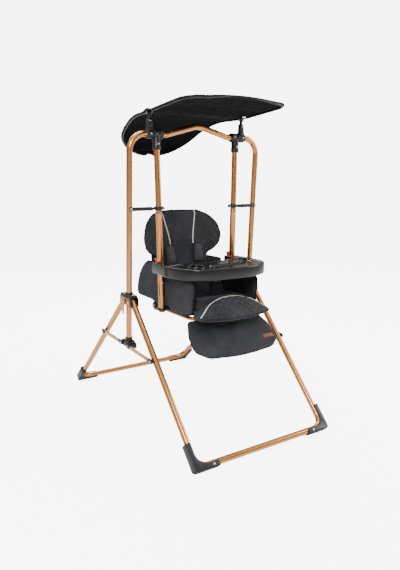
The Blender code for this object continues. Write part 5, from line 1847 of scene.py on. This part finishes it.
pressed(work, rest_relief)
rest = add("footrest_cover", work, CHARCOAL, "footrest", ["footrest_pad"], 0)
skin = surface_of(rest)
piped("footrest_binding", [laid(rim, skin, 0.0, 0.005, True, 2)], "footrest", BINDING, 0.0027, True)
toward = REST_PLANE.to_3x3() @ Vector((0, 0, -1))
seams = []
for y, bow, slant in ((-0.0445, 0.004, 0.0), (-0.0695, 0.002, 0.05)):
    line = [REST_PLANE @ Vector((x, y + bow * (x / 0.18) ** 2 + slant * x, 0.05)) for x in np.linspace(-0.165, 0.165, 80)]
    seams.append(traced(line, skin, toward, 0.0003))
centre = sum(rim, Vector()) / len(rim)
small = [REST_PLANE @ Vector((p.x * 0.953, -0.116 + (p.y + 0.116) * 0.912, 0.05)) for p in outline]
seams.append(traced(small + small[:1], skin, toward, 0.0003))
stitched("footrest_stitches", seams, "footrest")

# %% Leather patch
work = bmesh.new()
count = 24
grid = []
for j in range(9):
    row = []
    for n in range(count + 1):
        x = 0.130 + 0.054 * n / count
        y = -0.162 + 0.018 * j / 8
        spot, normal, _, _ = skin.ray_cast(REST_PLANE @ Vector((x, y, 0.05)), toward)
        edge = min(n, count - n, j * 2, (8 - j) * 2)
        row.append((spot + normal * (0.0011 if edge else 0.0001)))
    grid.append(row)
verts = [[work.verts.new(p) for p in row] for row in grid]
for first, second in zip(verts, verts[1:]):
    for n in range(count):
        work.faces.new((first[n], first[n + 1], second[n + 1], second[n]))
back_verts = [[work.verts.new(p - REST_PLANE.to_3x3() @ Vector((0, 0, 0.0012))) for p in row] for row in grid]
for first, second in zip(back_verts, back_verts[1:]):
    for n in range(count):
        work.faces.new((first[n + 1], first[n], second[n], second[n + 1]))
ring_front = verts[0] + [r[-1] for r in verts[1:]] + verts[-1][-2::-1] + [r[0] for r in verts[-2:0:-1]]
ring_back = back_verts[0] + [r[-1] for r in back_verts[1:]] + back_verts[-1][-2::-1] + [r[0] for r in back_verts[-2:0:-1]]
for n in range(len(ring_front)):
    after = (n + 1) % len(ring_front)
    work.faces.new((ring_front[after], ring_front[n], ring_back[n], ring_back[after]))
add("leather_patch", work, LEATHER, "footrest")
border = [(0.1325, -0.1600), (0.1815, -0.1600), (0.1815, -0.1460), (0.1325, -0.1460), (0.1325, -0.1600)]
line = [REST_PLANE @ Vector((x, y, 0.05)) for x, y in border]
stitched("patch_stitches", [traced(line, skin, toward, 0.0014, 0.002, 0)], "footrest", pitch=0.0026,
         length=0.0017, thickness=0.0003)

# %% [markdown]
# ## Canopy
# The canopy is one sheet of cloth on two hoops that turn on the same pins. The front hoop makes
# a flat visor, the rear one runs level and then curves down behind the seat. The cloth is tight
# along the hoops, crowned in the middle and slightly slack over the pins, and a bound hem covers
# the hoops all round.

# %% Canopy surface
BOW_X, CANOPY_FRONT, CANOPY_RISE = 0.235, 0.312, 0.085
CANOPY_FLAT, CANOPY_CURVE, CANOPY_REAR, CANOPY_TAPER = 0.095, 0.448, 0.424, 0.065
FRONT_REACH = hypot(CANOPY_FRONT, CANOPY_FRONT * CANOPY_RISE)
REAR_REACH = CANOPY_FLAT + CANOPY_CURVE * asin((CANOPY_REAR - CANOPY_FLAT) / CANOPY_CURVE)


def rail_profile(s):
    """The side rail at a signed distance from the pins, and the way square to it."""
    if s < 0:
        rise = atan2(CANOPY_RISE, 1)
        front = Vector((s * cos(rise), -s * sin(rise))), Vector((sin(rise), cos(rise)))
        ease = eased_step(-s, 0.0, 0.05)
        return front[0], (Vector((0, 1)).lerp(front[1], ease)).normalized()
    if s <= CANOPY_FLAT:
        return Vector((s, 0.0)), Vector((0.0, 1.0))
    turn = (s - CANOPY_FLAT) / CANOPY_CURVE
    return (Vector((CANOPY_FLAT + CANOPY_CURVE * sin(turn), CANOPY_CURVE * (cos(turn) - 1))),
            Vector((sin(turn), cos(turn))))


def canopy_half(s, extra=0.0045):
    """Half the width of the cloth, with its rounded corners."""
    reach, corner = (FRONT_REACH, 0.080) if s < 0 else (REAR_REACH, 0.150)
    beyond = abs(s) - (reach - corner)
    inset = 0.0 if s < 0 else CANOPY_TAPER * s / REAR_REACH
    if beyond > 0:
        inset += corner - sqrt(max(0.0, corner ** 2 - min(beyond, corner) ** 2))
    return BOW_X + extra - inset


def canopy_point(s, u, lift=0.0):
    """A point of the cloth: s along, u from -1 to 1 across."""
    profile, up_way = rail_profile(s)
    half = canopy_half(s)
    grow = min(1.0, abs(s) / 0.15)
    crown = (0.009 if s < 0 else 0.014) * (1 - u * u) * (0.15 + 0.85 * grow * grow * (3 - 2 * grow))
    slack = -0.0035 * exp(-(s / 0.035) ** 2) * (1 - abs(u) ** 6)
    pull = 0.0007 * sin(u * 21 + s * 9) * exp(-(abs(s) / 0.10)) + 0.0007 * noise.noise(Vector((u * 3, s * 14, 2)))
    over_pin = 0.0100 * exp(-(s / 0.022) ** 2) * eased_step(abs(u), 0.86, 0.97)
    height = 0.0048 + crown + slack + pull + over_pin + lift
    y = profile.x + up_way.x * height
    return place(u * half, y, CANOPY_Z + profile.y + up_way.y * height)


stations = [-FRONT_REACH * sin(pi / 2 * n / 40) for n in range(40, 0, -1)]
stations += [REAR_REACH * sin(pi / 2 * n / 52) for n in range(0, 53)]
columns = [sin(pi / 2 * (n / 30 - 1)) * 0.55 + 0.45 * (n / 30 - 1) for n in range(61)]
upper_rows = [[canopy_point(s, u, 0.0006) for u in columns] for s in stations]
lower_rows = [[canopy_point(s, u, -0.0006) for u in columns] for s in stations]
work = bmesh.new()
top_verts = [[work.verts.new(p) for p in row] for row in upper_rows]
low_verts = [[work.verts.new(p) for p in row] for row in lower_rows]
for first, second in zip(top_verts, top_verts[1:]):
    for n in range(len(columns) - 1):
        work.faces.new((first[n], first[n + 1], second[n + 1], second[n]))
for first, second in zip(low_verts, low_verts[1:]):
    for n in range(len(columns) - 1):
        work.faces.new((first[n + 1], first[n], second[n], second[n + 1]))


def border_of(rows):
    return rows[0] + [row[-1] for row in rows[1:]] + rows[-1][-2::-1] + [row[0] for row in rows[-2:0:-1]]


outer_top, outer_low = border_of(top_verts), border_of(low_verts)
for n in range(len(outer_top)):
    after = (n + 1) % len(outer_top)
    work.faces.new((outer_top[n], outer_top[after], outer_low[after], outer_low[n]))
sheet = add("canopy_cloth", work, NIGHT, None, ["canopy_front_fabric", "canopy_rear_fabric"], 0)
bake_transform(sheet)

# %% Hem, hem stitches and cross seams of the canopy
edge_line = [canopy_point(s, 1.0) for s in stations]
edge_line += [canopy_point(stations[-1], u) for u in columns[::-1][1:-1]]
edge_line += [canopy_point(s, -1.0) for s in reversed(stations)]
edge_line += [canopy_point(stations[0], u) for u in columns[1:-1]]
hem_path = relaxed(evened(edge_line, 0.006, True), 2, True)
work = sweep_into(bmesh.new(), hem_path, 0.0040, 14, closed=True)
hem = add("canopy_hem", work, BINDING, None)
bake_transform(hem)
for side_name, lift in (("top", 0.0010), ("under", -0.0010)):
    lines = []
    for part in (0.945, 0.925):
        ring = [canopy_point(s * (0.972 if part == 0.945 else 0.962), part, lift) for s in stations]
        ring += [canopy_point(stations[-1] * (0.972 if part == 0.945 else 0.962), u * part, lift) for u in columns[::-1]]
        ring += [canopy_point(s * (0.972 if part == 0.945 else 0.962), -part, lift) for s in reversed(stations)]
        ring += [canopy_point(stations[0] * (0.972 if part == 0.945 else 0.962), u * part, lift) for u in columns]
        lines.append(evened(ring, 0.006))
    for s in (-0.150, 0.080):
        lines.append([canopy_point(s, u, lift) for u in np.linspace(-0.92, 0.92, 50)])
    sewn = stitched(f"canopy_stitches_{side_name}", lines, None, THREAD, 0.0050, 0.0034, 0.00045)
    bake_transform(sewn)

# %% Hoops
for label, sign_y in (("front", -1), ("rear", 1)):
    tab_x = 0.2210 if label == "front" else BOW_X
    reach = FRONT_REACH if label == "front" else REAR_REACH
    line = []
    for n in range(61):
        s = sign_y * reach * sin(pi / 2 * n / 60)
        profile, up_way = rail_profile(s)
        half = canopy_half(s, 0.0)
        widen = eased_step(abs(s), 0.016, 0.034)
        half = tab_x + (half - tab_x) * widen if abs(s) < 0.05 else half
        line.append(place(half, profile.x, CANOPY_Z + profile.y))
    profile, up_way = rail_profile(sign_y * reach)
    wide = canopy_half(sign_y * reach, 0.0)
    across = [place(u * wide, profile.x + up_way.x * 0.014 * (1 - u * u),
                    CANOPY_Z + profile.y + up_way.y * 0.014 * (1 - u * u)) for u in np.linspace(0.97, -0.97, 40)]
    left = [Vector((-p.x, p.y, p.z)) for p in reversed(line)]
    hoop = swept(relaxed(evened(line + across + left, 0.006), 2), 0.0035, 16)
    for sign in (-1, 1):
        start, finish = place(sign * (tab_x - 0.0035), 0, CANOPY_Z), place(sign * (tab_x + 0.0035), 0, CANOPY_Z)
        turned_into(hoop, [(0, 0.0031), (0, 0.0080), (0.0010, 0.0090), (0.0060, 0.0090), (0.0070, 0.0080),
                           (0.0070, 0.0031)], start, finish, 28)
    add(f"canopy_hoop_{label}", hoop, BLACK, f"canopy_{label}", [f"canopy_{label}_bow"])

# %% [markdown]
# ## Boards and rivets
# The seat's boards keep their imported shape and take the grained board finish. The rivets come
# last, one piece for each body.

# %% Better finishes on the boards
for label in ("seat_pan", "backrest_board", "footrest_board"):
    for holder in frame["nodes"][label].material_slots:
        holder.material = BOARD

# %% Setting the rivets
for body, heads in RIVETS.items():
    sizes = [Vector((radius, radius, height)) for _, _, radius, height in heads]
    mesh = grown([spot for spot, _, _, _ in heads], {"facing": [way for _, way, _, _ in heads],
                 "size": sizes}, studs, {"Head": head, "Finish": STEEL})
    add(f"rivets_{body}", mesh, STEEL, body, smooth=0)
